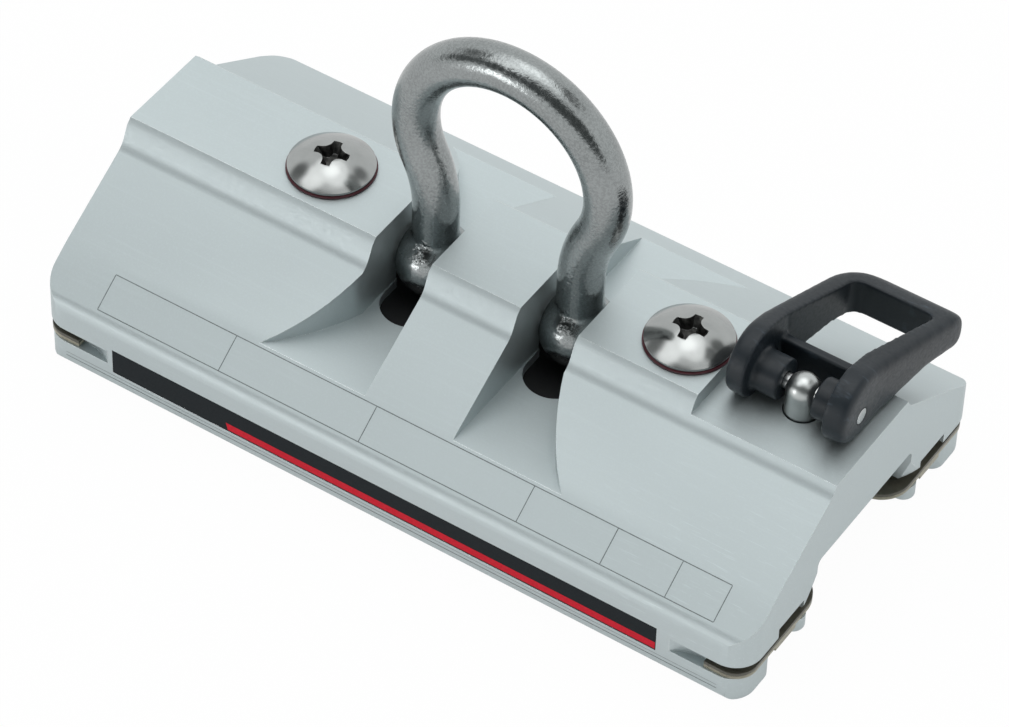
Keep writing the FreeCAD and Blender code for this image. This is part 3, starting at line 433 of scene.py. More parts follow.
def ball_tree(material):
    """Balls set along a circuit of two straight runs and two half-round turns."""
    tree, given = new_tree("ball_circuit", [
        ("Length", "NodeSocketFloat", 0.159),
        ("Width", "NodeSocketFloat", 0.022),
        ("Place", "NodeSocketVector", (0.0, 0.0, 0.0)),
        ("Ball Radius", "NodeSocketFloat", 0.003),
        ("Count", "NodeSocketInt", 50),
    ])
    outline = add_node(tree, "GeometryNodeCurvePrimitiveQuadrilateral", {
        "Width": given["Length"], "Height": given["Width"]})
    radius = add_node(tree, "ShaderNodeMath", {0: given["Width"], 1: TURN_RADIUS_SHARE},
                      operation="MULTIPLY")
    circuit = add_node(tree, "GeometryNodeFilletCurve", {
        "Curve": outline["Curve"], "Radius": radius[0], "Count": TURN_POINTS}, mode="POLY")
    places = add_node(tree, "GeometryNodeResampleCurve", {
        "Curve": circuit["Curve"], "Count": given["Count"]}, mode="COUNT")
    ball = add_node(tree, "GeometryNodeMeshUVSphere", {
        "Segments": BALL_SEGMENTS, "Rings": BALL_RINGS, "Radius": given["Ball Radius"]})
    smooth = add_node(tree, "GeometryNodeSetShadeSmooth", {"Geometry": ball["Mesh"]})
    balls = add_node(tree, "GeometryNodeInstanceOnPoints", {
        "Points": places["Curve"], "Instance": smooth["Geometry"]})
    return finish_tree(tree, balls["Instances"], given["Place"], material)


def spring_tree(material):
    """A round wire along a helix."""
    tree, given = new_tree("coil_spring", [
        ("Turns", "NodeSocketFloat", 3.0),
        ("Coil Radius", "NodeSocketFloat", 0.005),
        ("Height", "NodeSocketFloat", 0.006),
        ("Wire Radius", "NodeSocketFloat", 0.0004),
        ("Place", "NodeSocketVector", (0.0, 0.0, 0.0)),
    ])
    helix = add_node(tree, "GeometryNodeCurveSpiral", {
        "Resolution": COIL_RESOLUTION, "Rotations": given["Turns"], "Height": given["Height"],
        "Start Radius": given["Coil Radius"], "End Radius": given["Coil Radius"]})
    wire = add_node(tree, "GeometryNodeCurvePrimitiveCircle", {
        "Resolution": WIRE_SIDES, "Radius": given["Wire Radius"]})
    coil = add_node(tree, "GeometryNodeCurveToMesh", {
        "Curve": helix["Curve"], "Profile Curve": wire["Curve"], "Fill Caps": True})
    smooth = add_node(tree, "GeometryNodeSetShadeSmooth", {"Geometry": coil["Mesh"]})
    return finish_tree(tree, smooth["Geometry"], given["Place"], material)


# Materials

SCUFF_PLACE = (74.0 * MM, -40.0 * MM, 19.0 * MM)
SCUFF_CORE = 6.0 * MM
SCUFF_REACH = 40.0 * MM
FORGE_MARKS = ((-17.2 * MM, -6.6 * MM, 36.6 * MM), (17.2 * MM, -6.6 * MM, 36.6 * MM))
MARK_CORE = 1.6 * MM
MARK_REACH = 3.2 * MM
FLOOR_GLOW = 0.5
FLOOR_SEEN = 0.97


def shade(colour, factor):
    """A colour made lighter or darker."""
    return tuple(min(1.0, part * factor) for part in colour)


class Finish:
    """A material under construction, with its Principled shader and object coordinates."""

    def __init__(self, name, colour, metallic=0.0, roughness=0.5):
        self.material = bpy.data.materials.new(name)
        self.material.use_nodes = True
        self.tree = self.material.node_tree
        self.shader = self.tree.nodes["Principled BSDF"]
        self.shader.inputs["Base Color"].default_value = (*colour, 1.0)
        self.shader.inputs["Metallic"].default_value = metallic
        self.shader.inputs["Roughness"].default_value = roughness
        self.place = self.add("ShaderNodeTexCoord")["Object"]

    def add(self, kind, inputs=None, **settings):
        """The outputs of a new node of this material."""
        return add_node(self.tree, kind, inputs or {}, **settings)

    def noise(self, scale, detail=2.0, vector=None):
        """A noise pattern's factor."""
        return self.add("ShaderNodeTexNoise", {
            "Vector": vector or self.place, "Scale": scale, "Detail": detail})["Fac"]

    def streaks(self, scale, detail):
        """A noise pattern's factor, with a scale for each axis."""
        place = self.add("ShaderNodeMapping", {"Vector": self.place, "Scale": scale})
        return self.noise(1.0, detail, place["Vector"])

    def near(self, point, inner, outer):
        """A factor that is 1 round a point and falls to 0."""
        apart = self.add("ShaderNodeVectorMath", {0: self.place, 1: point}, operation="DISTANCE")
        return self.ranged(apart["Value"], low=1.0, high=0.0, start=inner, stop=outer)

    def combined(self, operation, first, second):
        """Two factors, or a factor and a number, put together."""
        return self.add("ShaderNodeMath", {0: first, 1: second}, operation=operation)[0]

    def ranged(self, factor, low=0.0, high=1.0, start=0.3, stop=0.7):
        """A factor whose part from start to stop is mapped to the range from low to high."""
        return self.add("ShaderNodeMapRange", {
            "Value": factor, "From Min": start, "From Max": stop,
            "To Min": low, "To Max": high})["Result"]

    def mixed(self, factor, first, second):
        """A colour or a colour socket, mixed with another colour by a factor."""
        if not isinstance(first, bpy.types.NodeSocket):
            first = (*first, 1.0)
        return self.add("ShaderNodeMix", {"Factor": factor, "A": first, "B": (*second, 1.0)},
                        data_type="RGBA")["Result"]

    def toned(self, factor, colour, darkest, lightest):
        """A colour that a pattern makes darker and lighter."""
        return self.mixed(self.ranged(factor), shade(colour, darkest), shade(colour, lightest))

    def colour(self, socket):
        """Link the base colour."""
        self.tree.links.new(socket, self.shader.inputs["Base Color"])

    def roughness(self, socket):
        """Link the roughness."""
        self.tree.links.new(socket, self.shader.inputs["Roughness"])

    def bump(self, *layers):
        """Stack bump layers, each a factor, a strength and a depth."""
        normal = None
        for factor, strength, depth in layers:
            inputs = {"Height": factor, "Strength": strength, "Distance": depth}
            if normal:
                inputs["Normal"] = normal
            normal = self.add("ShaderNodeBump", inputs)["Normal"]
        self.tree.links.new(normal, self.shader.inputs["Normal"])


def anodised_aluminium(settings):
    """Satin clear anodised aluminium, milled along the car, with a few scuffs at one corner."""
    base = tuple(settings.colour)
    finish = Finish("anodised_aluminium", base, metallic=0.86, roughness=0.52)
    tone = finish.toned(finish.noise(16.0), base, darkest=0.98, lightest=1.03)
    grain = finish.noise(2400.0)
    tone = finish.mixed(finish.ranged(grain, high=0.6, start=0.45, stop=0.8),
                        tone, shade(base, 1.15))
    strokes = finish.streaks((45.0, 1500.0, 1500.0), detail=4.0)
    tone = finish.mixed(finish.ranged(strokes, high=0.4, start=0.55, stop=0.8),
                        tone, shade(base, 1.12))
    scratches = finish.streaks((170.0, 2600.0, 2600.0), detail=3.0)
    scuffs = finish.combined("MULTIPLY", finish.near(SCUFF_PLACE, SCUFF_CORE, SCUFF_REACH),
                             finish.ranged(scratches, high=0.55, start=0.60, stop=0.72))
    finish.colour(finish.mixed(scuffs, tone, shade(base, 1.3)))
    finish.roughness(finish.ranged(grain, low=0.46, high=0.58))
    finish.bump((strokes, 0.12, 0.02 * MM), (grain, 0.22, 0.014 * MM))
    return finish.material


def worn_edge_and_highlight(settings):
    """Broken edge of the milled body, brighter than its faces: partly bare worn metal, partly a
    painted highlight along the edge.
    """
    base = tuple(settings.worn_edge_and_highlight_colour)
    finish = Finish("worn_edge_and_highlight", base, metallic=1.0, roughness=0.3)
    nicks = finish.noise(700.0, detail=4.0)
    finish.colour(finish.toned(nicks, base, darkest=0.86, lightest=1.1))
    finish.roughness(finish.ranged(nicks, low=0.14, high=0.28))
    finish.bump((nicks, 0.2, 0.02 * MM))
    return finish.material


def tumbled_steel(settings):
    """Forged stainless, tumbled to a grainy shine, with a pit where each leg meets its eye."""
    base = tuple(settings.shackle_colour)
    finish = Finish("tumbled_steel", base, metallic=1.0, roughness=0.25)
    stains = finish.noise(90.0, detail=3.0)
    tone = finish.toned(stains, base, darkest=0.90, lightest=1.08)
    grain = finish.noise(1300.0, detail=3.0)
    speckle = finish.ranged(finish.noise(2100.0), high=0.5, start=0.40, stop=0.60)
    tone = finish.mixed(speckle, tone, shade(base, 1.4))
    dents = finish.noise(420.0)
    left_mark, right_mark = [finish.near(place, MARK_CORE, MARK_REACH) for place in FORGE_MARKS]
    torn = finish.noise(480.0, detail=3.0)
    pits = finish.combined("MULTIPLY", finish.combined("MAXIMUM", left_mark, right_mark),
                           finish.ranged(torn, start=0.42, stop=0.58))
    finish.colour(finish.mixed(pits, tone, shade(base, 0.25)))
    finish.roughness(finish.ranged(grain, low=0.14, high=0.28))
    finish.bump((dents, 0.12, 0.05 * MM), (grain, 0.9, 0.08 * MM), (pits, 0.9, 0.3 * MM))
    return finish.material


def painted_recess_shade():
    """Dark pressed recess with a dull wall: painted shade and dirt, mottled lighter and darker."""
    finish = Finish("screw_recess_shade_and_dirt", (0.035, 0.036, 0.035), metallic=0.8, roughness=0.4)
    shade_and_dirt = finish.ranged(finish.noise(900.0, detail=3.0))
    finish.colour(finish.mixed(shade_and_dirt, (0.012, 0.012, 0.012), (0.10, 0.10, 0.095)))
    return finish.material


def polished_steel(name, colour, roughness):
    """Polished stainless with faint smears."""
    finish = Finish(name, colour, metallic=1.0, roughness=roughness)
    smears = finish.noise(260.0, detail=3.0)
    finish.colour(finish.toned(smears, colour, darkest=0.92, lightest=1.06))
    finish.roughness(finish.ranged(smears, low=roughness * 0.8, high=roughness * 1.3))
    return finish.material


def moulded_plastic(name, colour, roughness, scuff_share=0.0, shine=0.5):
    """Moulded plastic with a fine grain, and scuffs that catch the light."""
    finish = Finish(name, colour, roughness=roughness)
    finish.shader.inputs["Specular IOR Level"].default_value = shine
    patches = finish.noise(70.0, detail=3.0)
    grain = finish.noise(1500.0)
    scratches = finish.streaks((260.0, 900.0, 420.0), detail=4.0)
    scuffs = finish.combined("MULTIPLY", finish.ranged(patches, start=0.5, stop=0.62),
                             finish.ranged(scratches, high=scuff_share, start=0.58, stop=0.72))
    tone = finish.toned(patches, colour, darkest=0.88, lightest=1.15)
    finish.colour(finish.mixed(scuffs, tone, shade(colour, 7.0)))
    finish.roughness(finish.ranged(grain, low=roughness * 0.85, high=roughness * 1.15))
    finish.bump((grain, 0.15, 0.02 * MM))
    return finish.material


def film(name, colour):
    """Printed film with a slight sheen."""
    finish = Finish(name, colour, roughness=0.42)
    finish.shader.inputs["Specular IOR Level"].default_value = 0.14
    grain = finish.noise(1800.0)
    finish.colour(finish.toned(grain, colour, darkest=0.92, lightest=1.1))
    finish.roughness(finish.ranged(grain, low=0.5, high=0.62))
    return finish.material


def guide_plastic(name, colour, clear):
    """Bearing plastic that may let a little light through."""
    finish = Finish(name, colour, roughness=0.32)
    finish.shader.inputs["Transmission Weight"].default_value = clear
    cloud = finish.noise(300.0, detail=3.0)
    finish.colour(finish.toned(cloud, colour, darkest=0.8, lightest=1.25))
    finish.roughness(finish.ranged(cloud, low=0.26, high=0.4))
    return finish.material


def etched_and_shadow_line(settings):
    """Dark engraved line, also used as painted shadow under the skirt's ledges."""
    colour = tuple(settings.line_and_shadow_colour)
    finish = Finish("etched_and_shadow_line", colour, metallic=0.4, roughness=0.6)
    finish.colour(finish.toned(finish.noise(3000.0), colour, darkest=0.7, lightest=1.5))
    return finish.material


def pale_floor(settings):
    """Pale floor that reads white to the camera and in reflections, and keeps the shadow."""
    finish = Finish("pale_floor", tuple(settings.floor_colour), roughness=0.9)
    finish.shader.inputs["Specular IOR Level"].default_value = 0.0
    glow = finish.add("ShaderNodeEmission", {"Color": (1.0, 1.0, 1.0, 1.0), "Strength": 1.0})
    rays = finish.add("ShaderNodeLightPath")
    seen = finish.combined("MAXIMUM", rays["Is Camera Ray"], rays["Is Glossy Ray"])
    seen = finish.combined("MAXIMUM", seen, rays["Is Transmission Ray"])
    mirrored = finish.combined("MULTIPLY", seen, FLOOR_GLOW)
    straight = finish.combined("MULTIPLY", rays["Is Camera Ray"], FLOOR_SEEN - FLOOR_GLOW)
    surface = finish.add("ShaderNodeMixShader", {
        "Fac": finish.combined("ADD", mirrored, straight),
        1: finish.shader.outputs["BSDF"], 2: glow["Emission"]})
    output = finish.tree.nodes["Material Output"]
    finish.tree.links.new(surface["Shader"], output.inputs["Surface"])
    return finish.material


# Pieces

CREASE = Vector((0.0, -34.35 * MM, 23.6 * MM))
SHOULDER = Vector((0.0, -44.5 * MM, 16.5 * MM))
FRAME_TOP = 1.7 * MM
FRAME_BOTTOM = 9.8 * MM
FRAME_LEFT = -72.3 * MM
FRAME_RIGHT = 76.8 * MM
DIVIDERS = (-41.8 * MM, -7.25 * MM, 30.7 * MM, 50.4 * MM, 65.5 * MM)
# Where the painted shadow lines for the skirt's ledges lie, on its recessed face.
SKIRT_FACE = -44.2 * MM
SKIRT_SHADOW_LINES = (3.0 * MM, 2.0 * MM)
SKIRT_SHADOW_HALF = 79.6 * MM
LINE_THICKNESS = 0.012 * MM


def make_saddle(settings):
    """The machined body."""
    # The second material, on the rounded edges, carries a painted highlight as well as worn bare
    # metal.
    materials = [anodised_aluminium(settings), worn_edge_and_highlight(settings)]
    finished_copy("car_body", "saddle", settings.edge, materials, "car")


def make_frame_and_shadow_lines(settings):
    """Engraved frame on the lower front facet with its dividers, and painted shadow lines under the
    skirt's ledges.
    """
    down = (SHOULDER - CREASE).normalized()
    outward = Vector((0.0, down.z, -down.y))
    half = settings.line_width / 2
    along = Vector((1.0, 0.0, 0.0))
    shape = bmesh.new()
    for reach in (FRAME_TOP, FRAME_BOTTOM):
        middle = CREASE + down * reach
        left, right = middle + along * FRAME_LEFT, middle + along * FRAME_RIGHT
        corners = (left - down * half, right - down * half,
                   right + down * half, left + down * half)
        slab(shape, corners, LINE_THICKNESS, outward)
    for place in (FRAME_LEFT, *DIVIDERS, FRAME_RIGHT):
        top = CREASE + down * (FRAME_TOP + half) + along * place
        foot = CREASE + down * (FRAME_BOTTOM - half) + along * place
        corners = (top - along * half, top + along * half,
                   foot + along * half, foot - along * half)
        slab(shape, corners, LINE_THICKNESS, outward)
    # Dark lines on the skirt's recessed face stand for the shadow under its ledges: painted shadow.
    for height in SKIRT_SHADOW_LINES:
        corners = [(side * SKIRT_SHADOW_HALF, SKIRT_FACE, height + rise)
                   for side, rise in ((-1, -half), (1, -half), (1, half), (-1, half))]
        slab(shape, corners, LINE_THICKNESS, (0.0, -1.0, 0.0))
    lines = mesh_piece("frame_and_shadow_lines", shape)
    wear(lines, etched_and_shadow_line(settings), "car")


STRIPE_END_GAP = 0.2 * MM
STRIPE_SLANT = 0.45 * MM
PRINT_THICKNESS = 0.02 * MM


def make_label(settings):
    """Black strip with a plain stripe."""
    finished_copy("side_label", "label_strip", 0.0, [film("label_film", tuple(settings.colour))],
                  "car")
    low = LABEL_LOW[2] + settings.stripe_rise
    high = low + settings.stripe_height
    left, right = settings.stripe_start, LABEL_HIGH[0] - STRIPE_END_GAP
    face = LABEL_LOW[1]
    shape = bmesh.new()
    corners = [(left, face, low), (right, face, low),
               (right, face, high), (left - STRIPE_SLANT, face, high)]
    slab(shape, corners, PRINT_THICKNESS, (0.0, -1.0, 0.0))
    stripe = mesh_piece("label_stripe", shape)
    wear(stripe, film("stripe_film", tuple(settings.stripe_colour)), "car")


def make_shackle(steel, trim):
    """Bow shackle, its cross pin and the keeper, and the lever's pin."""
    finished_copy("shackle", "bow_shackle", steel.shackle_edge, [tumbled_steel(steel)],
                  "shackle", sharp=40.0)
    pin = polished_steel("pin_steel", tuple(steel.pin_colour), roughness=0.25)
    paint_node("shackle_pin", pin)
    paint_node("lever_pin", pin)
    keeper = moulded_plastic("keeper_black", tuple(trim.keeper_colour), roughness=0.45)
    paint_node("pin_keeper", keeper)


HEAD_RIM = 0.8 * MM
HEAD_HEIGHT = 4.0 * MM
SHANK_RADIUS = 4.0 * MM
TURNED_SEGMENTS = 72
DOME_STEPS = 14
RECESS_DEPTH = 2.7 * MM
RECESS_RISE = 0.5 * MM
RECESS_ARM = 3.9 * MM
RECESS_ARM_MIDDLE = 1.04 * RECESS_ARM
RECESS_HALF_WIDTH = 1.05 * MM
RECESS_FLANK_END = 0.72 * RECESS_ARM
RECESS_CORNER = 1.2 * RECESS_HALF_WIDTH
RECESS_CORNER_STEPS = 6
RECESS_TOP_SCALE = 1.1
RECESS_FLOOR_SCALE = 0.55
RECESS_TURN = {"left": math.radians(12), "right": math.radians(2)}


def turned(shape, middle, profile):
    """Add a turned solid to a bmesh; its profile runs from the axis to the axis."""
    rings = []
    for radius, height in profile:
        count = TURNED_SEGMENTS if radius > 0 else 1
        angles = [math.tau * step / TURNED_SEGMENTS for step in range(count)]
        rings.append([shape.verts.new((middle[0] + radius * math.cos(angle),
                                       middle[1] + radius * math.sin(angle), height))
                      for angle in angles])
    for below, above in zip(rings, rings[1:]):
        for step in range(TURNED_SEGMENTS):
            after = step + 1
            corners = [below[step % len(below)], below[after % len(below)],
                       above[after % len(above)], above[step % len(above)]]
            shape.faces.new(list(dict.fromkeys(corners)))


def recess_cutter(middle, top, turn):
    """A cross with hollowed corners that narrows downwards."""
    outline = [(RECESS_ARM, -RECESS_HALF_WIDTH), (RECESS_ARM_MIDDLE, 0.0),
               (RECESS_ARM, RECESS_HALF_WIDTH)]
    flank = Vector((RECESS_FLANK_END, RECESS_HALF_WIDTH))
    corner = Vector((RECESS_CORNER, RECESS_CORNER))
    for step in range(RECESS_CORNER_STEPS + 1):
        share = step / RECESS_CORNER_STEPS
        point = (flank * (1 - share) ** 2 + corner * 2 * share * (1 - share)
                 + Vector((flank.y, flank.x)) * share ** 2)
        outline.append(tuple(point))
    shape = bmesh.new()
    rings = []
    for height, scale in ((top + RECESS_RISE, RECESS_TOP_SCALE),
                          (top - RECESS_DEPTH, RECESS_FLOOR_SCALE)):
        ring = []
        for arm in range(4):
            spin = Matrix.Rotation(turn + arm * math.pi / 2, 2)
            for point in outline:
                place = spin @ (Vector(point) * scale)
                ring.append(shape.verts.new((middle[0] + place.x, middle[1] + place.y, height)))
        rings.append(ring)
    for step in range(len(rings[0])):
        after = (step + 1) % len(rings[0])
        shape.faces.new((rings[0][step], rings[0][after], rings[1][after], rings[1][step]))
    shape.faces.new(rings[0])
    shape.faces.new(rings[1])
    return mesh_piece("recess_cutter", shape)


def screw_profile(radius, low, top):
    """Half the section of a dome-headed screw, from its foot to its crown."""
    seat = top - HEAD_HEIGHT
    rise = HEAD_HEIGHT - HEAD_RIM
    crown = (radius ** 2 + rise ** 2) / 2 / rise
    reach = math.asin(radius / crown)
    profile = [(0.0, low), (SHANK_RADIUS, low), (SHANK_RADIUS, seat), (radius, seat)]
    for step in range(DOME_STEPS):
        angle = reach * (1 - step / DOME_STEPS)
        profile.append((crown * math.sin(angle), top - crown * (1 - math.cos(angle))))
    profile.append((0.0, top))
    return profile


def make_screws(steel, trim):
    """The two dome-headed screws with their cross recesses, and their seals."""
    shine = polished_steel("screw_steel", tuple(steel.screw_colour), roughness=0.17)
    recess = painted_recess_shade()
    seal = moulded_plastic("washer_red", tuple(trim.seal_colour), roughness=0.4)
    for side, turn in RECESS_TURN.items():
        low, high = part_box("top_screw_" + side)
        middle = ((low[0] + high[0]) / 2, (low[1] + high[1]) / 2)
        shape = bmesh.new()
        turned(shape, middle, screw_profile((high[0] - low[0]) / 2, low[2], high[2]))
        screw = mesh_piece("dome_screw_" + side, shape)
        screw.data.shade_smooth()
        cutter = recess_cutter(middle, high[2], turn)
        for piece in (screw, cutter):
            piece.data.materials.append(shine)
            piece.data.materials.append(recess)
        # The cutter's faces become the recess walls, which carry the painted shade and dirt.
        for face in cutter.data.polygons:
            face.material_index = 1
        cut = screw.modifiers.new("recess", "BOOLEAN")
        cut.object = cutter
        cut.solver = "EXACT"
        break_edges(screw, steel.edge, sharp=28.0, edge_material=0)
        made_plain(screw)
        bpy.data.objects.remove(cutter)
        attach(screw, "car")
        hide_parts("top_screw_" + side)
        finished_copy("seal_washer_" + side, "seal_" + side, 0.0, [seal], "car")


def make_plunger(steel, trim):
    """Plunger and the bush that guides it."""
    metal = polished_steel("plunger_steel", tuple(steel.plunger_colour), roughness=0.33)
    finished_copy("stop_plunger", "plunger", steel.edge, [metal], "plunger",
                  sharp=35.0)
    bush = moulded_plastic("bush_plastic", tuple(trim.bush_colour), roughness=0.5)
    paint_node("plunger_guide", bush)


def make_spring(settings):
    """Round-wire coil in the plunger's housing, as tall as the spring's node."""
    steel = polished_steel("spring_steel", tuple(settings.colour), roughness=0.25)
    length = SPRING_HIGH[2] - SPRING_LOW[2]
    coil = tree_piece("coil_spring", spring_tree(steel), {
        "Turns": settings.turns,
        "Coil Radius": (SPRING_HIGH[1] - SPRING_LOW[1]) / 2 - settings.wire / 2,
        "Height": length - settings.wire,
        "Wire Radius": settings.wire / 2,
        "Place": (PLUNGER_X, 0.0, SPRING_LOW[2] + settings.wire / 2),
    }, "car")
    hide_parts("plunger_spring")
    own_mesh(coil)


THROAT_LEFT = 9.8 * MM
THROAT_RIGHT = 8.3 * MM
WINDOW_LEFT_LEAN = 2.9 * MM
WINDOW_RIGHT_LEAN = 3.4 * MM
WINDOW_START = 9.0 * MM
WINDOW_END = 30.7 * MM
COLLAR_FACE = 4.5 * MM
COLLAR_REACH = 4.0 * MM
ROUNDED_FROM = 0.8 * MM
ROUNDED_FADE = 1.6 * MM
PIN_BOSS = 2.3 * MM
PIN_BOSS_FADE = 1.3 * MM
SMOOTHING = 0.5


def share_of(value, span):
    """A value as a share of a span, kept from 0 to 1."""
    return min(max(value / span, 0.0), 1.0)


def outer_share(place):
    """How far a point of the lever lies towards its outer edges, from 0 to 1."""
    along = place.x - PLUNGER_X
    far = share_of(place.y - WINDOW_START, WINDOW_END - WINDOW_START)
    left = -THROAT_LEFT + WINDOW_LEFT_LEAN * far
    right = THROAT_RIGHT + WINDOW_RIGHT_LEAN * far
    out = max(left - along, along - right, place.y - WINDOW_END)
    from_pin = math.hypot(place.y, place.z - PIVOT_HEIGHT)
    return share_of(out - ROUNDED_FROM, ROUNDED_FADE) * share_of(from_pin - PIN_BOSS, PIN_BOSS_FADE)


def make_lever(settings):
    """Moulded cam lever: crisp round its window, well rounded outside."""
    lever = merged_copy("cam_lever", "lever")
    lever.data.materials.append(moulded_plastic("lever_plastic", tuple(settings.colour),
                                                roughness=0.42, scuff_share=0.3, shine=0.35))
    for vertex in lever.data.vertices:
        along = vertex.co.x - PLUNGER_X
        if abs(along) < COLLAR_FACE:
            vertex.co.x = PLUNGER_X + math.copysign(COLLAR_REACH, along)
    grain = lever.modifiers.new("grain", "REMESH")
    grain.mode = "VOXEL"
    grain.voxel_size = settings.grain
    grain.use_smooth_shade = True
    made_plain(lever)
    outside = lever.vertex_groups.new(name="outside")
    for vertex in lever.data.vertices:
        outside.add([vertex.index], outer_share(vertex.co), "REPLACE")
    for group, steps in (("", settings.inner_rounding), ("outside", settings.outer_rounding)):
        rounding = lever.modifiers.new("rounding", "SMOOTH")
        rounding.factor = SMOOTHING
        rounding.iterations = steps
        rounding.vertex_group = group
    made_plain(lever)
    lever.vertex_groups.clear()
    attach(lever, "lever")
    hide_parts("cam_lever")


def make_balls(settings):
    """Both ball circuits."""
    tree = ball_tree(moulded_plastic("ball_plastic", tuple(settings.colour), roughness=0.25))
    width = settings.run_outer - settings.run_inner
    middle = (settings.run_outer + settings.run_inner) / 2
    for side, name in ((-1, "front"), (1, "rear")):
        loop = tree_piece("balls_" + name, tree, {
            "Length": 2 * settings.half_run + width,
            "Width": width,
            "Place": (0.0, side * middle, BALL_HEIGHT),
            "Ball Radius": BALL_RADIUS,
            "Count": settings.count,
        }, "car")
        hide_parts("ball_loop_" + name)


def make_guides(settings):
    """The halves of the four ball guides, the upper ones darker."""
    finishes = {
        "upper": guide_plastic("guide_dark", tuple(settings.upper_colour), clear=0.0),
        "lower": guide_plastic("guide_olive", tuple(settings.lower_colour),
                               clear=settings.lower_clear),
    }
    for layer, material in finishes.items():
        for corner in CORNERS:
            node = "guide_" + layer + "_" + corner
            finished_copy(node, "ball_" + node, settings.edge, [material], "car")


# Stage

CAMERA_AIM = Vector((9.0 * MM, -13.1 * MM, 25.8 * MM))
CAMERA_SHIFT = (-0.0027, -0.0014)
CAMERA_CLIP = (0.05, 20.0)
SENSOR_WIDTH = 36.0
FLOOR_REACH = 4.0
FLOOR_GAP = 0.02 * MM
LAMP_PLACE = (-0.43, -0.90, 0.13)
LAMP_AIM = (0.0, 0.0, 0.03)
LAMP_SIZE = 0.3


def place_camera(settings):
    """Camera at the photograph's angle."""
    data = bpy.data.cameras.new("camera")
    camera = linked("camera", data)
    turn = Matrix.Rotation(settings.azimuth, 3, "Z")
    tilt = Matrix.Rotation(math.pi / 2 - settings.elevation, 3, "X")
    roll = Matrix.Rotation(settings.roll, 3, "Z")
    basis = turn @ tilt @ roll
    place = CAMERA_AIM + basis @ Vector((0.0, 0.0, settings.distance))
    camera.matrix_world = Matrix.Translation(place) @ basis.to_4x4()
    data.sensor_width = SENSOR_WIDTH
    data.lens = settings.lens
    data.shift_x, data.shift_y = CAMERA_SHIFT
    data.clip_start, data.clip_end = CAMERA_CLIP
    bpy.context.scene.camera = camera


def make_floor(settings):
    """Large pale floor under the car."""
    height = SADDLE_LOW[2] - FLOOR_GAP
    mesh = bpy.data.meshes.new("floor")
    mesh.from_pydata([(x * FLOOR_REACH, y * FLOOR_REACH, height)
                      for x, y in ((-1, -1), (1, -1), (1, 1), (-1, 1))], [], [(0, 1, 2, 3)])
    mesh.materials.append(pale_floor(settings))
    linked("floor", mesh)


def make_lamp(settings):
    """Soft square lamp near the horizon, at the front left."""
    data = bpy.data.lights.new("front_left", "AREA")
    data.shape = "SQUARE"
    data.size = LAMP_SIZE
    data.energy = settings.lamp_power
    lamp = linked("front_left", data)
    lamp.location = LAMP_PLACE
    look = Vector(LAMP_AIM) - Vector(LAMP_PLACE)
    lamp.rotation_euler = look.to_track_quat("-Z", "Y").to_euler()


# The room: each patch's direction, the angle from it in degrees within which the patch is
# full and the one at which it ends, and its colour. A patch covers the ones before it.
ROOM = (0.97, 0.99, 0.99)
DIM = (0.24, 0.25, 0.25)
SHADE = (0.13, 0.14, 0.14)
DEEP_SHADE = (0.11, 0.12, 0.12)
PANEL = (1.80, 1.83, 1.83)
BRIGHT_PANEL = (1.85, 1.88, 1.88)
FRONT_PANEL = (1.95, 1.98, 1.98)
PANEL_CORE = (2.60, 2.64, 2.64)
PATCHES = (
    ((-0.85, -0.44, 0.30), 8.0, 16.0, SHADE),
    ((-0.62, -0.60, 0.50), 10.0, 18.0, SHADE),
    ((-0.35, -0.72, 0.60), 11.0, 19.0, DEEP_SHADE),
    ((-0.02, -0.76, 0.65), 16.0, 25.0, DEEP_SHADE),
    ((0.33, -0.72, 0.61), 19.0, 28.0, DEEP_SHADE),
    ((0.62, -0.61, 0.49), 17.0, 26.0, DEEP_SHADE),
    ((0.83, -0.50, 0.26), 10.0, 18.0, DEEP_SHADE),
    ((-0.39, -0.25, 0.89), 13.0, 23.0, FRONT_PANEL),
    ((-0.76, -0.12, 0.64), 8.0, 18.0, DIM),
    ((0.46, 0.25, 0.85), 6.0, 14.0, DIM),
    ((0.40, 0.57, 0.72), 6.0, 14.0, DIM),
    ((-0.08, 0.14, 0.98), 17.0, 26.0, BRIGHT_PANEL),
    ((0.16, 0.02, 0.98), 10.0, 18.0, PANEL),
    ((-0.30, 0.18, 0.93), 8.0, 18.0, PANEL),
    ((-0.09, 0.12, 0.98), 5.0, 15.0, PANEL_CORE),
)


def light_world(settings):
    """White room with a bright panel overhead, and a dark gap in front, where the camera stands."""
    world = bpy.data.worlds.new("studio")
    bpy.context.scene.world = world
    world.use_nodes = True
    tree = world.node_tree
    background = tree.nodes["Background"]
    background.inputs["Strength"].default_value = settings.world_strength
    direction = add_node(tree, "ShaderNodeTexCoord", {})["Generated"]
    radiance = (*ROOM, 1.0)
    for axis, inner, outer, colour in PATCHES:
        toward = add_node(tree, "ShaderNodeVectorMath", {
            0: direction, 1: Vector(axis).normalized()}, operation="DOT_PRODUCT")
        share = add_node(tree, "ShaderNodeMapRange", {
            "Value": toward["Value"], "From Min": math.cos(math.radians(outer)),
            "From Max": math.cos(math.radians(inner))}, interpolation_type="SMOOTHSTEP")
        radiance = add_node(tree, "ShaderNodeMix", {
            "Factor": share["Result"], "A": radiance, "B": (*colour, 1.0)},
            data_type="RGBA")["Result"]
    tree.links.new(radiance, background.inputs["Color"])


def set_stage(settings):
    """Camera, floor, world and lamp."""
    place_camera(settings)
    make_floor(settings)
    light_world(settings)
    make_lamp(settings)
    bpy.context.scene.view_settings.view_transform = "Standard"


# Operators

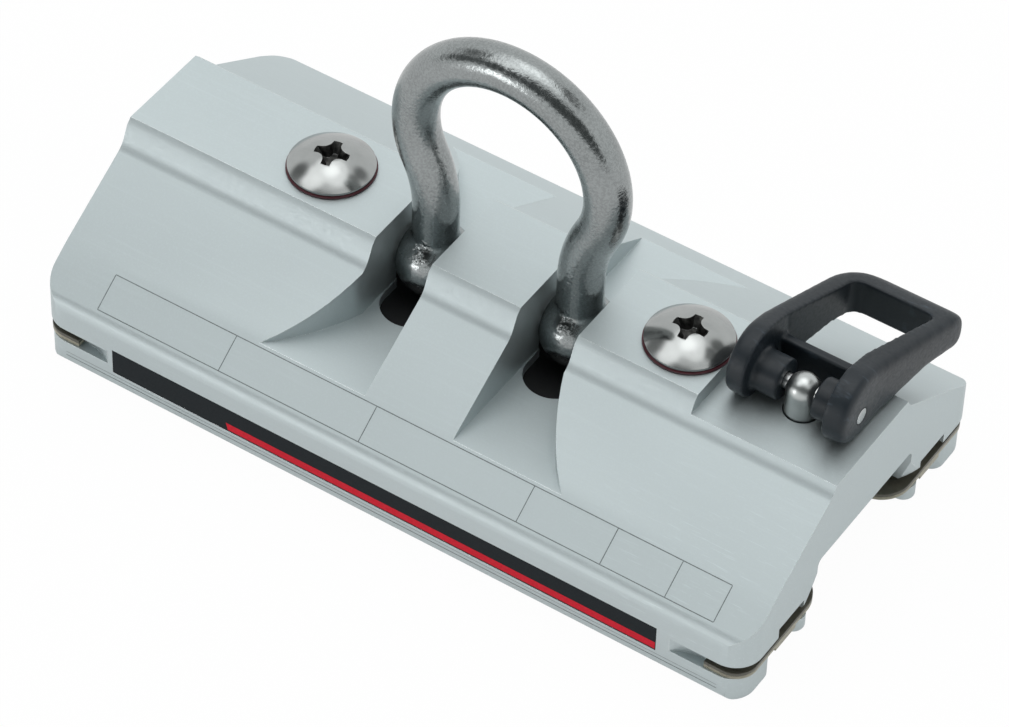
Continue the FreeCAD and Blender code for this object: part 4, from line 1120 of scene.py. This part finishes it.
class TRACKCAR_OT_saddle(bpy.types.Operator):
    """Finish the machined body, its engraved frame and the painted shadow lines under its skirt's
    ledges
    """
    bl_idname = "trackcar.saddle"
    bl_label = "Saddle"

    def execute(self, context):
        make_saddle(context.scene.track_car.saddle)
        make_frame_and_shadow_lines(context.scene.track_car.saddle)
        return {"FINISHED"}


class TRACKCAR_OT_label(bpy.types.Operator):
    """Finish the label strip"""
    bl_idname = "trackcar.label"
    bl_label = "Label"

    def execute(self, context):
        make_label(context.scene.track_car.label)
        return {"FINISHED"}


class TRACKCAR_OT_shackle(bpy.types.Operator):
    """Finish the shackle, its pin and the keeper"""
    bl_idname = "trackcar.shackle"
    bl_label = "Shackle"

    def execute(self, context):
        make_shackle(context.scene.track_car.steel, context.scene.track_car.trim)
        return {"FINISHED"}


class TRACKCAR_OT_screws(bpy.types.Operator):
    """Finish the top screws and their seals"""
    bl_idname = "trackcar.screws"
    bl_label = "Screws"

    def execute(self, context):
        make_screws(context.scene.track_car.steel, context.scene.track_car.trim)
        return {"FINISHED"}


class TRACKCAR_OT_plunger(bpy.types.Operator):
    """Finish the plunger, its bush and its spring"""
    bl_idname = "trackcar.plunger"
    bl_label = "Plunger"

    def execute(self, context):
        make_plunger(context.scene.track_car.steel, context.scene.track_car.trim)
        make_spring(context.scene.track_car.spring)
        return {"FINISHED"}


class TRACKCAR_OT_lever(bpy.types.Operator):
    """Finish the cam lever"""
    bl_idname = "trackcar.lever"
    bl_label = "Lever"

    def execute(self, context):
        make_lever(context.scene.track_car.lever)
        return {"FINISHED"}


class TRACKCAR_OT_balls(bpy.types.Operator):
    """Set the balls in their circuits"""
    bl_idname = "trackcar.balls"
    bl_label = "Balls"

    def execute(self, context):
        make_balls(context.scene.track_car.balls)
        return {"FINISHED"}


class TRACKCAR_OT_guides(bpy.types.Operator):
    """Finish the ball guides"""
    bl_idname = "trackcar.guides"
    bl_label = "Guides"

    def execute(self, context):
        make_guides(context.scene.track_car.guides)
        return {"FINISHED"}


class TRACKCAR_OT_stage(bpy.types.Operator):
    """Set the camera, the floor and the light"""
    bl_idname = "trackcar.stage"
    bl_label = "Stage"

    def execute(self, context):
        set_stage(context.scene.track_car.stage)
        return {"FINISHED"}


OPERATORS = (
    TRACKCAR_OT_saddle,
    TRACKCAR_OT_label,
    TRACKCAR_OT_shackle,
    TRACKCAR_OT_screws,
    TRACKCAR_OT_plunger,
    TRACKCAR_OT_lever,
    TRACKCAR_OT_balls,
    TRACKCAR_OT_guides,
    TRACKCAR_OT_stage,
)


class TRACKCAR_PT_panel(bpy.types.Panel):
    """Settings and steps of the track car"""
    bl_idname = "TRACKCAR_PT_panel"
    bl_label = "Track car"
    bl_space_type = "VIEW_3D"
    bl_region_type = "UI"
    bl_category = "Track car"

    def draw(self, context):
        settings = context.scene.track_car
        for name, group in GROUPS:
            column = self.layout.column(align=True)
            column.label(text=name.capitalize())
            for label in group.__annotations__:
                column.prop(getattr(settings, name), label)
        for operator in OPERATORS:
            self.layout.operator(operator.bl_idname)


def classes():
    """Every class to register, in order."""
    return [group for _, group in GROUPS] + [TrackCarSettings, *OPERATORS, TRACKCAR_PT_panel]


def register():
    """Register the classes and the settings."""
    for item in classes():
        bpy.utils.register_class(item)
    bpy.types.Scene.track_car = PointerProperty(type=TrackCarSettings)


def unregister():
    """Remove the settings and the classes."""
    del bpy.types.Scene.track_car
    for item in reversed(classes()):
        bpy.utils.unregister_class(item)


def main():
    """Build every piece in order."""
    register()
    bpy.ops.trackcar.saddle()
    bpy.ops.trackcar.label()
    bpy.ops.trackcar.shackle()
    bpy.ops.trackcar.screws()
    bpy.ops.trackcar.plunger()
    bpy.ops.trackcar.lever()
    bpy.ops.trackcar.balls()
    bpy.ops.trackcar.guides()
    bpy.ops.trackcar.stage()


if __name__ == "__main__":
    main()
